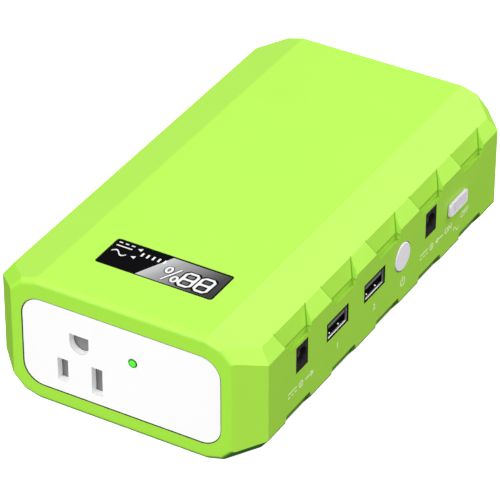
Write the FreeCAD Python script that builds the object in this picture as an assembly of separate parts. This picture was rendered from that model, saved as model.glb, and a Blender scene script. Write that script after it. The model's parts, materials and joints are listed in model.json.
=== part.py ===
# Compact power station: a battery pack and an inverter in a faceted two-part housing.
# Millimetres, +Z up. The origin is the middle of the flat underside. The outlet panel faces -Y,
# the ports and switches are on the +X side, and the display looks up from the front of the top.
import FreeCAD, Part
import math
import os

V = FreeCAD.Vector

# ---------------------------------------------------------------- driving dimensions
# Housing: overall size, walls and the facets that bevel its long edges and corners
BODY_WIDTH = 97.2
BODY_LENGTH = 171.4
BODY_HEIGHT = 46.4
WALL = 2.0
PARTING_HEIGHT = 20.0
SHOULDER_RUN = 14.1
SHOULDER_DROP = 4.0
PAD_RUN = 3.5
PAD_DROP = 4.75
CORNER_ACROSS = 8.4
CORNER_ALONG = 8.2
CORNER_FACET_SETBACK = 9.8
CORNER_FACET_DROP = 6.15
FACE_EDGE_RADIUS = 2.0

# Grip notches along the four long edges
NOTCH_COUNT = 5
NOTCH_FROM_END = 26.9
NOTCH_LENGTH = 19.2
NOTCH_END_SLOPE = 0.32
NOTCH_DEPTH = 1.6
NOTCH_RECESS_TOP = 1.5
NOTCH_LEDGE_SLANT = 0.6
UPPER_NOTCH_HEIGHT = 7.9
LOWER_NOTCH_HEIGHT = 7.0

# Joint between the housing halves, its screws and the plugs that cover them
LIP_THICKNESS = 1.0
LIP_HEIGHT = 1.6
LIP_ROOT = 2.0
BOSS_RADIUS = 4.3
BOSS_INSET_X = 9.1
BOSS_INSET_Y = 9.7
CASE_SCREW_RADIUS = 1.5
CASE_SCREW_LENGTH = 22.0
CASE_HEAD_RADIUS = 2.75
CASE_HEAD_HEIGHT = 2.0
SCREW_PLUG_RADIUS = 3.0
HEAD_TOP_HEIGHT = 6.8

# Clearances
FIT_GAP = 0.15          # a fixed piece in its cut-out
PANEL_GAP = 0.3         # the outlet panel in its opening
JACK_GAP = 0.12         # a barrel jack in its opening
USB_GAP = 0.4           # a USB shell in its opening
RUNNING_GAP = 0.25      # a moving piece beside a fixed one
BORE_GAP = 0.05         # a pin, screw or contact in its bore
OVERCUT = 1.0           # how far a cutting form stands past the face it opens
EDGE_SHARE = 0.8        # the part of a proud rim's height that its rounding takes

# Outlet panel and the NEMA 5-15 outlet behind it
PANEL_SIDE_MARGIN = 4.0
PANEL_TOP_MARGIN = 7.2
PANEL_BOTTOM_MARGIN = 6.35
PANEL_CORNER_RADIUS = 7.2
PANEL_RECESS = 0.3
PANEL_THICKNESS = 2.5
PANEL_FLANGE = 1.5
PANEL_RIB_WIDTH = 5.0
PANEL_RIB_DEPTH = 1.5
PANEL_RIB_REACH = 1.2
OUTLET_FROM_PANEL_EDGE = 21.0
BLADES_ABOVE_PANEL_EDGE = 8.6
BLADE_SPACING = 12.7
GROUND_OFFSET = 11.9
HOT_SLOT = (3.9, 8.7)
NEUTRAL_SLOT = (4.0, 10.3)
GROUND_RADIUS = 3.5
GROUND_FLAT = 3.4
OUTLET_BODY_DEPTH = 16.0
OUTLET_COVER_THICKNESS = 2.0
SHUTTER_THICKNESS = 1.4
SHUTTER_GAP = 0.3
SHUTTER_TRAVEL = 7.5
SHUTTER_MARGIN = 1.2
SHUTTER_TAIL = 0.8
SHUTTER_WALL = 1.4
SPRING_SOLID_LENGTH = 3.2
SPRING_TURNS = 9
SPRING_WIRE_RADIUS = 0.15
SPRING_COIL_RADIUS = 0.65
CONTACT_THICKNESS = 0.6
CONTACT_WIDTH = 3.0
CONTACT_HEIGHT = 7.6
CONTACT_LENGTH = 12.5
TAB_LENGTH = 5.0
SLEEVE_SLIT = 1.0
OUTLET_SCREW_RADIUS = 1.0
OUTLET_SCREW_BITE = 1.8
OUTLET_HEAD_RADIUS = 1.8
OUTLET_HEAD_HEIGHT = 1.4
SCREW_EAR = 2.4

# Indicator lamp beside the outlet
LAMP_FROM_OUTLET = 19.75
LAMP_ABOVE_BLADES = 12.3
LAMP_RADIUS = 1.6
LAMP_PROUD = 0.2
LAMP_FLANGE = 0.8
LED_LENGTH = 3.2
LED_RIM = 0.3
LAMP_BOARD_THICKNESS = 1.2
LAMP_BOARD_MARGIN = 1.8
LAMP_POST_RADIUS = 1.4
LAMP_POST_OFFSET = (5.6, 6.4)

# Display in the top
DISPLAY_WIDTH = 42.6
DISPLAY_DEPTH = 14.5
DISPLAY_X = 0.8
DISPLAY_FROM_FRONT = 25.7
DISPLAY_CORNER_RADIUS = 1.0
WINDOW_RECESS = 0.15
WINDOW_FLANGE = 1.2
WINDOW_FLANGE_THICKNESS = 1.0
DISPLAY_MODULE_HEIGHT = 2.4
DISPLAY_MODULE_MARGIN = 0.9
DISPLAY_BOARD_THICKNESS = 1.2
DISPLAY_BOARD_MARGIN = 1.0
DISPLAY_SCREW_LENGTH = 4.5

# Port board and what stands on it, placed along the side at shares of the body's length
PORT_BOARD_TOP = 23.6
BOARD_THICKNESS = 1.6
PORT_BOARD_WIDTH = 15.6
PORT_BOARD_GAP = 0.4
PORT_BOARD_END = 5.0
OUTPUT_JACK_AT = 0.169
PORT_CHIP_MARGIN = 0.6
PORT_CHOKE_HEIGHT = 3.4
CHIP_SIZE = (3.6, 5.0, 1.2)
CHIP_SPACING = 7.9
USB_AT = (0.3028, 0.4457)
BUTTON_AT = 0.557
INPUT_JACK_AT = 0.6721
SWITCH_AT = 0.7795
JACK_WIDTH = 7.3
JACK_HEIGHT = 9.6
JACK_LENGTH = 13.0
JACK_RECESS = 0.15
JACK_BORE_RADIUS = 3.0
JACK_BORE_DEPTH = 9.5
JACK_PIN_RADIUS = 1.05
JACK_PIN_SETBACK = 1.2
USB_WIDTH = 13.3
USB_HEIGHT = 6.2
USB_LENGTH = 14.0
USB_RECESS = 0.2
USB_SHEET = 0.35
USB_MOUTH_BEVEL = 0.3
USB_TONGUE_WIDTH = 11.1
USB_TONGUE_THICKNESS = 1.84
USB_TONGUE_SETBACK = 0.5
USB_TONGUE_GAP = 0.4
USB_ROOT_DEPTH = 4.0

# Power button with its tactile switch
BUTTON_HEIGHT = 26.1
BUTTON_RADIUS = 5.1
BUTTON_PROUD = 0.25
BUTTON_EDGE_RADIUS = 0.4
BUTTON_TRAVEL = 0.8
BUTTON_FLANGE_RADIUS = 6.4
BUTTON_FLANGE_THICKNESS = 1.0
BUTTON_STEM_RADIUS = 1.6
BUTTON_WALL = 1.2
PLUNGER_RADIUS = 1.3
PLUNGER_REACH = 1.4
PLUNGER_DEPTH = 2.0
TACT_SIZE = 6.0
TACT_DEPTH = 3.6
TACT_GAP = 0.6

# Slide switch for the outlet
KNOB_LENGTH = 12.6
KNOB_HEIGHT = 5.4
KNOB_PROUD = 1.25
KNOB_CENTRE_HEIGHT = 25.35
KNOB_TRAVEL = 3.0
KNOB_STEM_LENGTH = 4.0
KNOB_STEM_HEIGHT = 2.6
KNOB_RIB_COUNT = 7
KNOB_RIB_PITCH = 1.3
KNOB_RIB_DEPTH = 0.3
KNOB_RIB_MARGIN = 0.7
KNOB_CORNER_RADIUS = 1.3
KNOB_EDGE_RADIUS = 0.4
SLIDE_BODY_DEPTH = 4.6
SLIDE_BODY_LENGTH = 11.4
LEVER_SIZE = 1.8
LEVER_DEPTH = 3.0
LEVER_REACH = 1.2

# Inverter board and what stands on it
INVERTER_BOARD_HEIGHT = 7.0
INVERTER_BOARD_LEFT_GAP = 3.0
BOARD_SPACING = 2.0
INVERTER_END_GAP = 4.6
STANDOFF_RADIUS = 2.8
STANDOFF_INSET = 3.6
BOARD_SCREW_RADIUS = 1.0
BOARD_SCREW_LENGTH = 5.0
BOARD_HEAD_RADIUS = 1.9
BOARD_HEAD_HEIGHT = 1.2
CORE_WIDTH = 30.0
CORE_DEPTH = 22.0
CORE_HEIGHT = 25.0
CORE_LIMB = 6.0
CORE_EDGE_GAP = 6.0
CORE_FRONT_GAP = 9.0
BOBBIN_WALL = 1.0
BOBBIN_FOOT = 3.0
CAPACITOR_COUNT = 3
CAPACITOR_RADIUS = 6.3
CAPACITOR_HEIGHT = 25.0
CAPACITOR_EDGE_RADIUS = 0.8
CAPACITOR_EDGE_GAP = 2.0
CAPACITOR_SPACING = 1.2
PIECE_SPACING = 1.5
SINK_HEIGHT = 24.0
SINK_DEPTH = 8.0
SINK_BASE = 2.4
SINK_FIN = 1.2
SINK_FINS = 6
SINK_EDGE_GAP = 0.8
TRANSISTOR_DEPTH = 4.5
TRANSISTOR_HEIGHT = 15.0
CHOKE_SECTION_SHARE = 0.38
FUSE_RADIUS = 2.6
FUSE_CAP_LENGTH = 5.0

# Battery pack: three columns and two rows of cells, which fill what the case leaves them
CELL_COLUMNS = 3
CELL_ROWS = 2
CELL_SPACING = 1.6
CELL_SHARE = 0.4784
CELL_CAP_RADIUS = 2.8
CELL_CAP_HEIGHT = 1.0
HOLDER_DEPTH = 8.0
HOLDER_RIM = 0.9
PACK_LEFT_GAP = 11.3
PACK_RIGHT_GAP = 2.5
PACK_REAR_GAP = 5.5
PAD_THICKNESS = 1.1
PAD_MARGIN = 4.0
STRIP_THICKNESS = 0.3
STRIP_WIDTH = 8.0
BATTERY_BOARD_THICKNESS = 1.2
BATTERY_BOARD_OVERLAP = 2.0
BATTERY_BOARD_MARGIN = 6.1
BATTERY_CHIP_SPACING = 9.0
PACK_RIB_HEIGHT = 6.0
PACK_RIB_THICKNESS = 1.6

# Leads
LEAD_RADIUS = 0.9
LEAD_BEND = 2.6
RIBBON_WIDTH = 7.0
RIBBON_THICKNESS = 0.5
RIBBON_MARGIN = 0.9

# ---------------------------------------------------------------- places worked out from them
half_width = BODY_WIDTH / 2
half_length = BODY_LENGTH / 2
middle_height = BODY_HEIGHT / 2
face_width = BODY_WIDTH - 2 * CORNER_ACROSS
front_y = -half_length
back_y = half_length
pad_top_x = half_width - PAD_RUN
pad_top_height = BODY_HEIGHT - SHOULDER_DROP
notch_floor_x = half_width - NOTCH_DEPTH
inner_side_x = notch_floor_x - WALL
inner_front_y = front_y + WALL
inner_back_y = back_y - WALL
ceiling = BODY_HEIGHT - WALL

panel_width = face_width - 2 * PANEL_SIDE_MARGIN
panel_height = BODY_HEIGHT - PANEL_TOP_MARGIN - PANEL_BOTTOM_MARGIN
panel_centre_height = PANEL_BOTTOM_MARGIN + panel_height / 2
panel_front_y = front_y + PANEL_RECESS
panel_back_y = panel_front_y + PANEL_THICKNESS
shutter_pocket_depth = SHUTTER_THICKNESS + 2 * SHUTTER_GAP
outlet_front_y = panel_back_y + shutter_pocket_depth
outlet_back_y = outlet_front_y + OUTLET_BODY_DEPTH
cover_back_y = outlet_back_y + OUTLET_COVER_THICKNESS
tab_end_y = cover_back_y + TAB_LENGTH / 2
outlet_x = OUTLET_FROM_PANEL_EDGE - panel_width / 2
blade_height = PANEL_BOTTOM_MARGIN + BLADES_ABOVE_PANEL_EDGE
hot_x = outlet_x - BLADE_SPACING / 2
neutral_x = outlet_x + BLADE_SPACING / 2
ground_height = blade_height + GROUND_OFFSET
lamp_x = outlet_x + LAMP_FROM_OUTLET
lamp_height = blade_height + LAMP_ABOVE_BLADES

display_y = front_y + DISPLAY_FROM_FRONT
window_top = BODY_HEIGHT - WINDOW_RECESS
window_bottom = ceiling - WINDOW_FLANGE_THICKNESS
display_module_bottom = window_bottom - DISPLAY_MODULE_HEIGHT
display_board_bottom = display_module_bottom - DISPLAY_BOARD_THICKNESS

output_jack_y = front_y + OUTPUT_JACK_AT * BODY_LENGTH
input_jack_y = front_y + INPUT_JACK_AT * BODY_LENGTH
usb_y = [front_y + share * BODY_LENGTH for share in USB_AT]
button_y = front_y + BUTTON_AT * BODY_LENGTH
switch_y = front_y + SWITCH_AT * BODY_LENGTH
port_board_x = (inner_side_x - PORT_BOARD_GAP - PORT_BOARD_WIDTH, inner_side_x - PORT_BOARD_GAP)
port_board_y = (output_jack_y - JACK_WIDTH / 2 - PORT_BOARD_END,
                switch_y + KNOB_LENGTH / 2 + PORT_BOARD_END)
port_board_bottom = PORT_BOARD_TOP - BOARD_THICKNESS
port_post_x = port_board_x[0] + STANDOFF_RADIUS
port_post_y = ((output_jack_y + usb_y[0]) / 2, (button_y + input_jack_y) / 2,
               port_board_y[1] - STANDOFF_RADIUS)

pack_left_x = -inner_side_x + PACK_LEFT_GAP
pack_right_x = port_board_x[0] - PACK_RIGHT_GAP
pack_x = (pack_left_x + pack_right_x) / 2
holder_width = pack_right_x - pack_left_x
holder_height = BODY_HEIGHT - 2 * WALL - 2 * PAD_THICKNESS
cell_radius = min(
    (holder_width - 2 * HOLDER_RIM - (CELL_COLUMNS - 1) * CELL_SPACING) / (2 * CELL_COLUMNS),
    (holder_height - 2 * HOLDER_RIM - (CELL_ROWS - 1) * CELL_SPACING) / (2 * CELL_ROWS))
column_pitch = (holder_width - 2 * (cell_radius + HOLDER_RIM)) / (CELL_COLUMNS - 1)
row_pitch = (holder_height - 2 * (cell_radius + HOLDER_RIM)) / (CELL_ROWS - 1)
pack_bottom = middle_height - holder_height / 2

inverter_front_y = tab_end_y + INVERTER_END_GAP / 2
pack_rear_y = inner_back_y - PACK_REAR_GAP
pack_front_y = pack_rear_y - CELL_SHARE * (pack_rear_y - inverter_front_y)
inverter_x = (-inner_side_x + INVERTER_BOARD_LEFT_GAP, port_board_x[0] - BOARD_SPACING)
inverter_y = (inverter_front_y, pack_front_y - INVERTER_END_GAP)
inverter_top = INVERTER_BOARD_HEIGHT + BOARD_THICKNESS
inverter_posts = [(x, y) for x in (inverter_x[0] + STANDOFF_INSET, inverter_x[1] - STANDOFF_INSET)
                  for y in (inverter_y[0] + STANDOFF_INSET, inverter_y[1] - STANDOFF_INSET)]
ribbon_x = port_board_x[0] + RIBBON_MARGIN
display_board_half = ribbon_x + RIBBON_THICKNESS + FIT_GAP - DISPLAY_X
display_posts = [(DISPLAY_X + side * (display_board_half - STANDOFF_RADIUS), display_y)
                 for side in (-1, 1)]
case_bosses = [(sx * (half_width - BOSS_INSET_X), sy * (half_length - BOSS_INSET_Y))
               for sx in (-1, 1) for sy in (-1, 1)]


# ---------------------------------------------------------------- shape helpers
def block(x, y, z):
    """A box from the low to the high value of each axis."""
    return Part.makeBox(x[1] - x[0], y[1] - y[0], z[1] - z[0], V(x[0], y[0], z[0]))


def around(centre, size):
    """The low and high values of a span of the given size about its centre."""
    return (centre - size / 2, centre + size / 2)


def rod(axis, at, radius, span):
    """A round bar along X, Y or Z. at holds the two other coordinates, in X, Y, Z order."""
    start = {"x": V(span[0], *at), "y": V(at[0], span[0], at[1]), "z": V(at[0], at[1], span[0])}[axis]
    way = {"x": V(1, 0, 0), "y": V(0, 1, 0), "z": V(0, 0, 1)}[axis]
    return Part.makeCylinder(radius, span[1] - span[0], start, way)


def extrude(corners, way):
    """A prism on a closed outline of corner points."""
    return Part.Face(Part.makePolygon(corners + corners[:1])).extrude(way)


def prism_y(outline, y):
    """A prism along Y on an outline of (x, z) points."""
    return extrude([V(px, y[0], pz) for px, pz in outline], V(0, y[1] - y[0], 0))


def prism_x(outline, x):
    """A prism along X on an outline of (y, z) points."""
    return extrude([V(x[0], py, pz) for py, pz in outline], V(x[1] - x[0], 0, 0))


def prism_z(outline, z):
    """A prism along Z on an outline of (x, y) points."""
    return extrude([V(px, py, z[0]) for px, py in outline], V(0, 0, z[1] - z[0]))


def rounded_plate(axis, a, b, radius, span):
    """A plate with rounded corners, across X or Y (a) and up Z or along Y (b), thick along axis."""
    if axis == "y":
        plate = block(a, span, b)
    elif axis == "z":
        plate = block(a, b, span)
    else:
        plate = block(span, a, b)
    way = "xyz".index(axis)
    edges = [e for e in plate.Edges if abs(e.tangentAt(e.FirstParameter)[way]) > 0.99]
    return plate.makeFillet(radius, edges)


def fuse(shapes):
    """One solid from pieces that touch or overlap."""
    return shapes[0].fuse(list(shapes[1:])).removeSplitter() if len(shapes) > 1 else shapes[0]


def screw(x, y, head_under, radius, length, head_radius, head_height, up):
    """A screw along Z. Its head's bearing face is at head_under, and its shank goes up or down."""
    if up:
        head, shank = (head_under - head_height, head_under), (head_under, head_under + length)
    else:
        head, shank = (head_under, head_under + head_height), (head_under - length, head_under)
    return fuse([rod("z", (x, y), head_radius, head), rod("z", (x, y), radius, shank)])


def lead(start, way, run, drop, radius):
    """A wire that leaves start along +Y or -Y, bends once and drops straight down."""
    bend = LEAD_BEND
    elbow = start + V(0, way * run, 0)
    turn = V(start.x, elbow.y + way * bend * math.sin(math.pi / 4),
             start.z - bend * (1 - math.cos(math.pi / 4)))
    below = V(start.x, elbow.y + way * bend, start.z - bend)
    path = Part.Wire([Part.LineSegment(start, elbow).toShape(),
                      Part.Arc(elbow, turn, below).toShape(),
                      Part.LineSegment(below, V(below.x, below.y, start.z - drop)).toShape()])
    ring = Part.Wire([Part.Circle(start, V(0, way, 0), radius).toShape()])
    return path.makePipeShell([ring], True, True)


# ---------------------------------------------------------------- housing
def full_outline(quarter):
    """A closed outline from its first quarter, which runs from the +X side up to the top."""
    left = [(-a, b) for a, b in reversed(quarter)]
    below = [(-a, -b) for a, b in quarter]
    right = [(a, -b) for a, b in reversed(quarter)]
    return list(quarter) + left + below + right


def inset_outline(outline, inset):
    """A convex outline, given anticlockwise, with every side moved inwards."""
    sides = []
    for (ax, ay), (bx, by) in zip(outline, outline[1:] + outline[:1]):
        size = math.hypot(bx - ax, by - ay)
        nx, ny = (ay - by) / size, (bx - ax) / size
        sides.append((nx, ny, nx * ax + ny * ay + inset))
    corners = []
    for (a, b, c), (d, e, f) in zip(sides[-1:] + sides[:-1], sides):
        det = a * e - b * d
        corners.append(((c * e - b * f) / det, (a * f - c * d) / det))
    return corners


def cross_section(side, pad_run, pad_drop):
    """The housing's section across Y: flat top, shallow shoulder, steep pad and upright side."""
    quarter = [(side, middle_height - SHOULDER_DROP - pad_drop),
               (side - pad_run, middle_height - SHOULDER_DROP),
               (side - pad_run - SHOULDER_RUN, middle_height)]
    return full_outline(quarter)


def corner_wedges(inset):
    """What lies beyond the slanted facet at each of the eight corners."""
    edge_height = pad_top_height - PAD_DROP
    a = V(pad_top_x, front_y + CORNER_FACET_SETBACK, pad_top_height)
    b = V(half_width, front_y + CORNER_ALONG, edge_height)
    c = V(face_width / 2, front_y, BODY_HEIGHT - CORNER_FACET_DROP)
    normal = (b - a).cross(c - a)
    if normal.z < 0:
        normal = -normal
    normal.normalize()
    reach = BODY_WIDTH / 2
    wedge = Part.makeBox(2 * reach, 2 * reach, reach, V(-reach, -reach, 0))
    wedge.Placement = FreeCAD.Placement(a - normal * inset, FreeCAD.Rotation(V(0, 0, 1), normal))
    wedges = [wedge]
    for way in (V(1, 0, 0), V(0, 1, 0), V(0, 0, 1)):
        wedges += [w.mirror(V(0, 0, middle_height), way) for w in wedges]
    return wedges


def faceted_block(section, inset):
    """The housing's convex form on a section, moved inwards all over by inset."""
    outline = [(x, z + middle_height) for x, z in inset_outline(section, inset)]
    body = prism_y(outline, (front_y + inset, back_y - inset))
    plan = full_outline([(half_width, half_length - CORNER_ALONG), (face_width / 2, half_length)])
    body = body.common(prism_z(inset_outline(plan, inset), (0, BODY_HEIGHT)))
    return body.cut(corner_wedges(inset))


def notch_cutters():
    """The grip notches: a steep floor from the pad's top line, then a low recess and a ledge
    that slants down from the side wall to the recess."""
    far = half_width + WALL
    pitch = (BODY_LENGTH - 2 * NOTCH_FROM_END) / (NOTCH_COUNT - 1)
    cutters = []
    for height, is_upper in ((UPPER_NOTCH_HEIGHT, True), (LOWER_NOTCH_HEIGHT, False)):
        ledge = pad_top_height - height
        foot = ledge - NOTCH_LEDGE_SLANT
        low_half = NOTCH_LENGTH / 2 - NOTCH_END_SLOPE * (pad_top_height - foot)
        ends = prism_x([(-NOTCH_LENGTH / 2, pad_top_height), (-low_half, foot),
                        (low_half, foot), (NOTCH_LENGTH / 2, pad_top_height)],
                       (pad_top_x - OVERCUT, far))
        floor = prism_y([(pad_top_x, pad_top_height), (notch_floor_x, ledge + NOTCH_RECESS_TOP),
                         (notch_floor_x, foot), (half_width, ledge), (far, ledge),
                         (far, pad_top_height)],
                        (-NOTCH_LENGTH, NOTCH_LENGTH))
        notch = ends.common(floor)
        if not is_upper:
            notch = notch.mirror(V(0, 0, middle_height), V(0, 0, 1))
        for i in range(NOTCH_COUNT):
            placed = notch.translated(V(0, (i - (NOTCH_COUNT - 1) / 2) * pitch, 0))
            cutters += [placed, placed.mirror(V(0, 0, 0), V(1, 0, 0))]
    return cutters


def outer_form():
    """The housing's outside: facets, rounded face edges and grip notches."""
    body = faceted_block(cross_section(half_width, PAD_RUN, PAD_DROP), 0.0)
    face_edges = [e for e in body.Edges
                  if all(abs(abs(v.Y) - half_length) < 1e-4 for v in e.Vertexes)]
    body = body.makeFillet(FACE_EDGE_RADIUS, face_edges)
    return body.cut(notch_cutters())


def cavity(inset):
    """The housing's inside, which keeps a full wall behind the notch floors."""
    section = cross_section(notch_floor_x, PAD_RUN - NOTCH_DEPTH,
                            UPPER_NOTCH_HEIGHT - NOTCH_RECESS_TOP)
    return faceted_block(section, inset)


OUTER = outer_form()
CAVITY = cavity(WALL)


def panel_outline(grow, y):
    """The outlet panel's rounded rectangle, grown all round, between two depths."""
    return rounded_plate("y", around(0, panel_width + 2 * grow),
                         around(panel_centre_height, panel_height + 2 * grow),
                         PANEL_CORNER_RADIUS + grow, y)


def display_outline(grow, z):
    """The display window's rounded rectangle, grown all round, between two heights."""
    return rounded_plate("z", around(DISPLAY_X, DISPLAY_WIDTH + 2 * grow),
                         around(display_y, DISPLAY_DEPTH + 2 * grow),
                         DISPLAY_CORNER_RADIUS + grow, z)


def side_cutouts():
    """The holes in the port side, through the wall."""
    wall = (inner_side_x - OVERCUT, half_width + OVERCUT)
    holes = []
    for y in (output_jack_y, input_jack_y):
        holes.append(block(wall, around(y, JACK_WIDTH + 2 * JACK_GAP),
                           (PORT_BOARD_TOP - JACK_GAP, PORT_BOARD_TOP + JACK_HEIGHT + JACK_GAP)))
    for y in usb_y:
        holes.append(block(wall, around(y, USB_WIDTH + 2 * USB_GAP),
                           (PORT_BOARD_TOP - USB_GAP, PORT_BOARD_TOP + USB_HEIGHT + USB_GAP)))
    holes.append(rod("x", (button_y, BUTTON_HEIGHT), BUTTON_RADIUS + RUNNING_GAP, wall))
    slot = (switch_y - KNOB_STEM_LENGTH / 2 - RUNNING_GAP,
            switch_y + KNOB_STEM_LENGTH / 2 + KNOB_TRAVEL + RUNNING_GAP)
    holes.append(block(wall, slot, around(KNOB_CENTRE_HEIGHT, KNOB_STEM_HEIGHT + 2 * RUNNING_GAP)))
    return holes


def boss(x, y, radius, z):
    """A screw boss or post that grows into the housing's wall."""
    return rod("z", (x, y), radius, z).common(OUTER)


def panel_ribs(z):
    """Ribs that hold the outlet panel's flange against the front wall, from a wall to the flange."""
    y = (panel_back_y, panel_back_y + PANEL_RIB_DEPTH)
    overlap = PANEL_RIB_REACH - PANEL_FLANGE
    if z > middle_height:
        heights = (BODY_HEIGHT - PANEL_TOP_MARGIN - overlap, ceiling + WALL / 2)
    else:
        heights = (WALL / 2, PANEL_BOTTOM_MARGIN + overlap)
    return [block(around(side * panel_width / 4, PANEL_RIB_WIDTH), y, heights) for side in (-1, 1)]


def upper_housing():
    """The upper shell, with the display opening, the port holes and the screw bosses."""
    shell = OUTER.cut(CAVITY).common(above_parting())
    bosses = [boss(x, y, BOSS_RADIUS, (PARTING_HEIGHT, BODY_HEIGHT)) for x, y in case_bosses]
    posts = [boss(x, y, STANDOFF_RADIUS, (display_module_bottom, ceiling + WALL / 2))
             for x, y in display_posts]
    shell = fuse([shell] + bosses + posts + panel_ribs(BODY_HEIGHT))
    tools = side_cutouts()
    tools.append(panel_outline(PANEL_GAP, (front_y - OVERCUT, inner_front_y)))
    tools.append(display_outline(FIT_GAP, (ceiling, BODY_HEIGHT + OVERCUT)))
    screw_top = HEAD_TOP_HEIGHT + CASE_SCREW_LENGTH + OVERCUT
    tools += [rod("z", at, CASE_SCREW_RADIUS + BORE_GAP, (PARTING_HEIGHT, screw_top))
              for at in case_bosses]
    tools += [rod("z", at, BOARD_SCREW_RADIUS + BORE_GAP,
                  (display_module_bottom, display_board_bottom + DISPLAY_SCREW_LENGTH))
              for at in display_posts]
    return shell.cut(tools)


def above_parting():
    """Everything above the joint between the housing halves."""
    return block(around(0, 2 * BODY_WIDTH), around(0, 2 * BODY_LENGTH),
                 (PARTING_HEIGHT, 2 * BODY_HEIGHT))


def alignment_lip():
    """The lip on the lower shell that locates the upper one."""
    root = CAVITY.cut(cavity(WALL + LIP_THICKNESS))
    root = root.common(block(around(0, BODY_WIDTH), around(0, BODY_LENGTH),
                             (PARTING_HEIGHT - LIP_ROOT, PARTING_HEIGHT)))
    tongue = cavity(WALL + BORE_GAP).cut(cavity(WALL + LIP_THICKNESS))
    tongue = tongue.common(block(around(0, BODY_WIDTH), around(0, BODY_LENGTH),
                                 (PARTING_HEIGHT - LIP_ROOT / 2, PARTING_HEIGHT + LIP_HEIGHT)))
    lip = root.fuse(tongue)
    panel_room = block(around(0, panel_width + 2 * (PANEL_FLANGE + 2 * RUNNING_GAP)),
                       (front_y, panel_back_y + PANEL_RIB_DEPTH), (0, BODY_HEIGHT))
    boss_room = [rod("z", at, BOSS_RADIUS + FIT_GAP, (0, BODY_HEIGHT)) for at in case_bosses]
    button_room = block((0, half_width), around(button_y, 2 * BUTTON_FLANGE_RADIUS),
                        (PARTING_HEIGHT, BODY_HEIGHT))
    return lip.cut([panel_room, button_room] + boss_room)


def lower_housing():
    """The lower shell, with its screw bosses, board standoffs, pack ribs and alignment lip."""
    below = OUTER.cut(CAVITY).cut(above_parting())
    bosses = [boss(x, y, BOSS_RADIUS, (0, PARTING_HEIGHT)) for x, y in case_bosses]
    posts = [boss(x, y, STANDOFF_RADIUS, (WALL / 2, INVERTER_BOARD_HEIGHT))
             for x, y in inverter_posts]
    posts += [boss(port_post_x, y, STANDOFF_RADIUS, (WALL / 2, port_board_bottom))
              for y in port_post_y]
    rib_top = pack_bottom + PACK_RIB_HEIGHT
    strips = STRIP_THICKNESS + 2 * FIT_GAP
    ribs = []
    for rib_y in (pack_front_y - strips - PACK_RIB_THICKNESS, pack_rear_y + strips):
        for column in (-1, 1):
            x = around(pack_x + column * column_pitch, column_pitch / 2)
            ribs.append(block(x, (rib_y, rib_y + PACK_RIB_THICKNESS), (WALL / 2, rib_top)))
    shell = fuse([below, alignment_lip()] + bosses + posts + ribs + panel_ribs(0))
    tools = [panel_outline(PANEL_GAP, (front_y - OVERCUT, inner_front_y))]
    for at in case_bosses:
        tools.append(rod("z", at, SCREW_PLUG_RADIUS, (-OVERCUT, HEAD_TOP_HEIGHT)))
        tools.append(rod("z", at, CASE_SCREW_RADIUS + BORE_GAP, (0, PARTING_HEIGHT)))
    hole = BOARD_SCREW_RADIUS + BORE_GAP
    tools += [rod("z", at, hole, (inverter_top - BOARD_SCREW_LENGTH, INVERTER_BOARD_HEIGHT))
              for at in inverter_posts]
    tools += [rod("z", (port_post_x, y), hole,
                  (port_board_bottom - BOARD_SCREW_LENGTH, port_board_bottom)) for y in port_post_y]
    return shell.cut(tools)


def case_screws():
    """Four screws that hold the housing halves together, driven from below."""
    return Part.makeCompound([screw(x, y, HEAD_TOP_HEIGHT, CASE_SCREW_RADIUS, CASE_SCREW_LENGTH,
                                    CASE_HEAD_RADIUS, CASE_HEAD_HEIGHT, True)
                              for x, y in case_bosses])


def screw_plugs():
    """Soft plugs that close the screw wells flush with the shoulder of the underside."""
    top = HEAD_TOP_HEIGHT - CASE_HEAD_HEIGHT
    return Part.makeCompound([rod("z", at, SCREW_PLUG_RADIUS - BORE_GAP, (0, top)).common(OUTER)
                              for at in case_bosses])


# ---------------------------------------------------------------- outlet
def slot_hole(x, size, y):
    """A blade slot's straight hole."""
    return block(around(x, size[0]), y, around(blade_height, size[1]))


def ground_hole(shift, grow, y):
    """The ground hole: round below, square-shouldered above, with a flat top."""
    radius = GROUND_RADIUS + grow
    x = outlet_x + shift
    lower = rod("y", (x, ground_height), radius, y)
    upper = block(around(x, 2 * radius), y, (ground_height, ground_height + GROUND_FLAT + grow))
    top_cut = block(around(x, 4 * radius), (y[0] - OVERCUT, y[1] + OVERCUT),
                    (ground_height + GROUND_FLAT + grow, ground_height + 2 * radius))
    return lower.fuse(upper).cut(top_cut)


def panel_holes(y):
    """The three pin holes of the outlet face."""
    return [slot_hole(hot_x, HOT_SLOT, y), slot_hole(neutral_x, NEUTRAL_SLOT, y),
            ground_hole(0.0, 0.0, y)]


# the shutter, as it stands when open: a low part behind the blade slots, a high part behind ground
shutter_low_z = around(blade_height, NEUTRAL_SLOT[1] + 2 * SHUTTER_MARGIN)
shutter_high_top = ground_height + GROUND_FLAT + SHUTTER_MARGIN
shutter_low_x = (hot_x - HOT_SLOT[0] / 2 - SHUTTER_MARGIN - SHUTTER_TAIL,
                 neutral_x + NEUTRAL_SLOT[0] / 2 + SHUTTER_TRAVEL + SHUTTER_MARGIN)
shutter_high_x = (outlet_x - GROUND_RADIUS - SHUTTER_MARGIN - SHUTTER_TAIL,
                  outlet_x + GROUND_RADIUS + SHUTTER_TRAVEL + SHUTTER_MARGIN)
pocket_low_x = (shutter_low_x[0] - SHUTTER_TRAVEL - RUNNING_GAP, shutter_low_x[1] + RUNNING_GAP)
spring_pocket_end = shutter_low_x[1] + SPRING_SOLID_LENGTH
pocket_high_x = (shutter_high_x[0] - SHUTTER_TRAVEL - RUNNING_GAP, shutter_high_x[1] + RUNNING_GAP)
pocket_low_z = (shutter_low_z[0] - FIT_GAP, shutter_low_z[1] + FIT_GAP)
pocket_high_top = shutter_high_top + FIT_GAP
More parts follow.
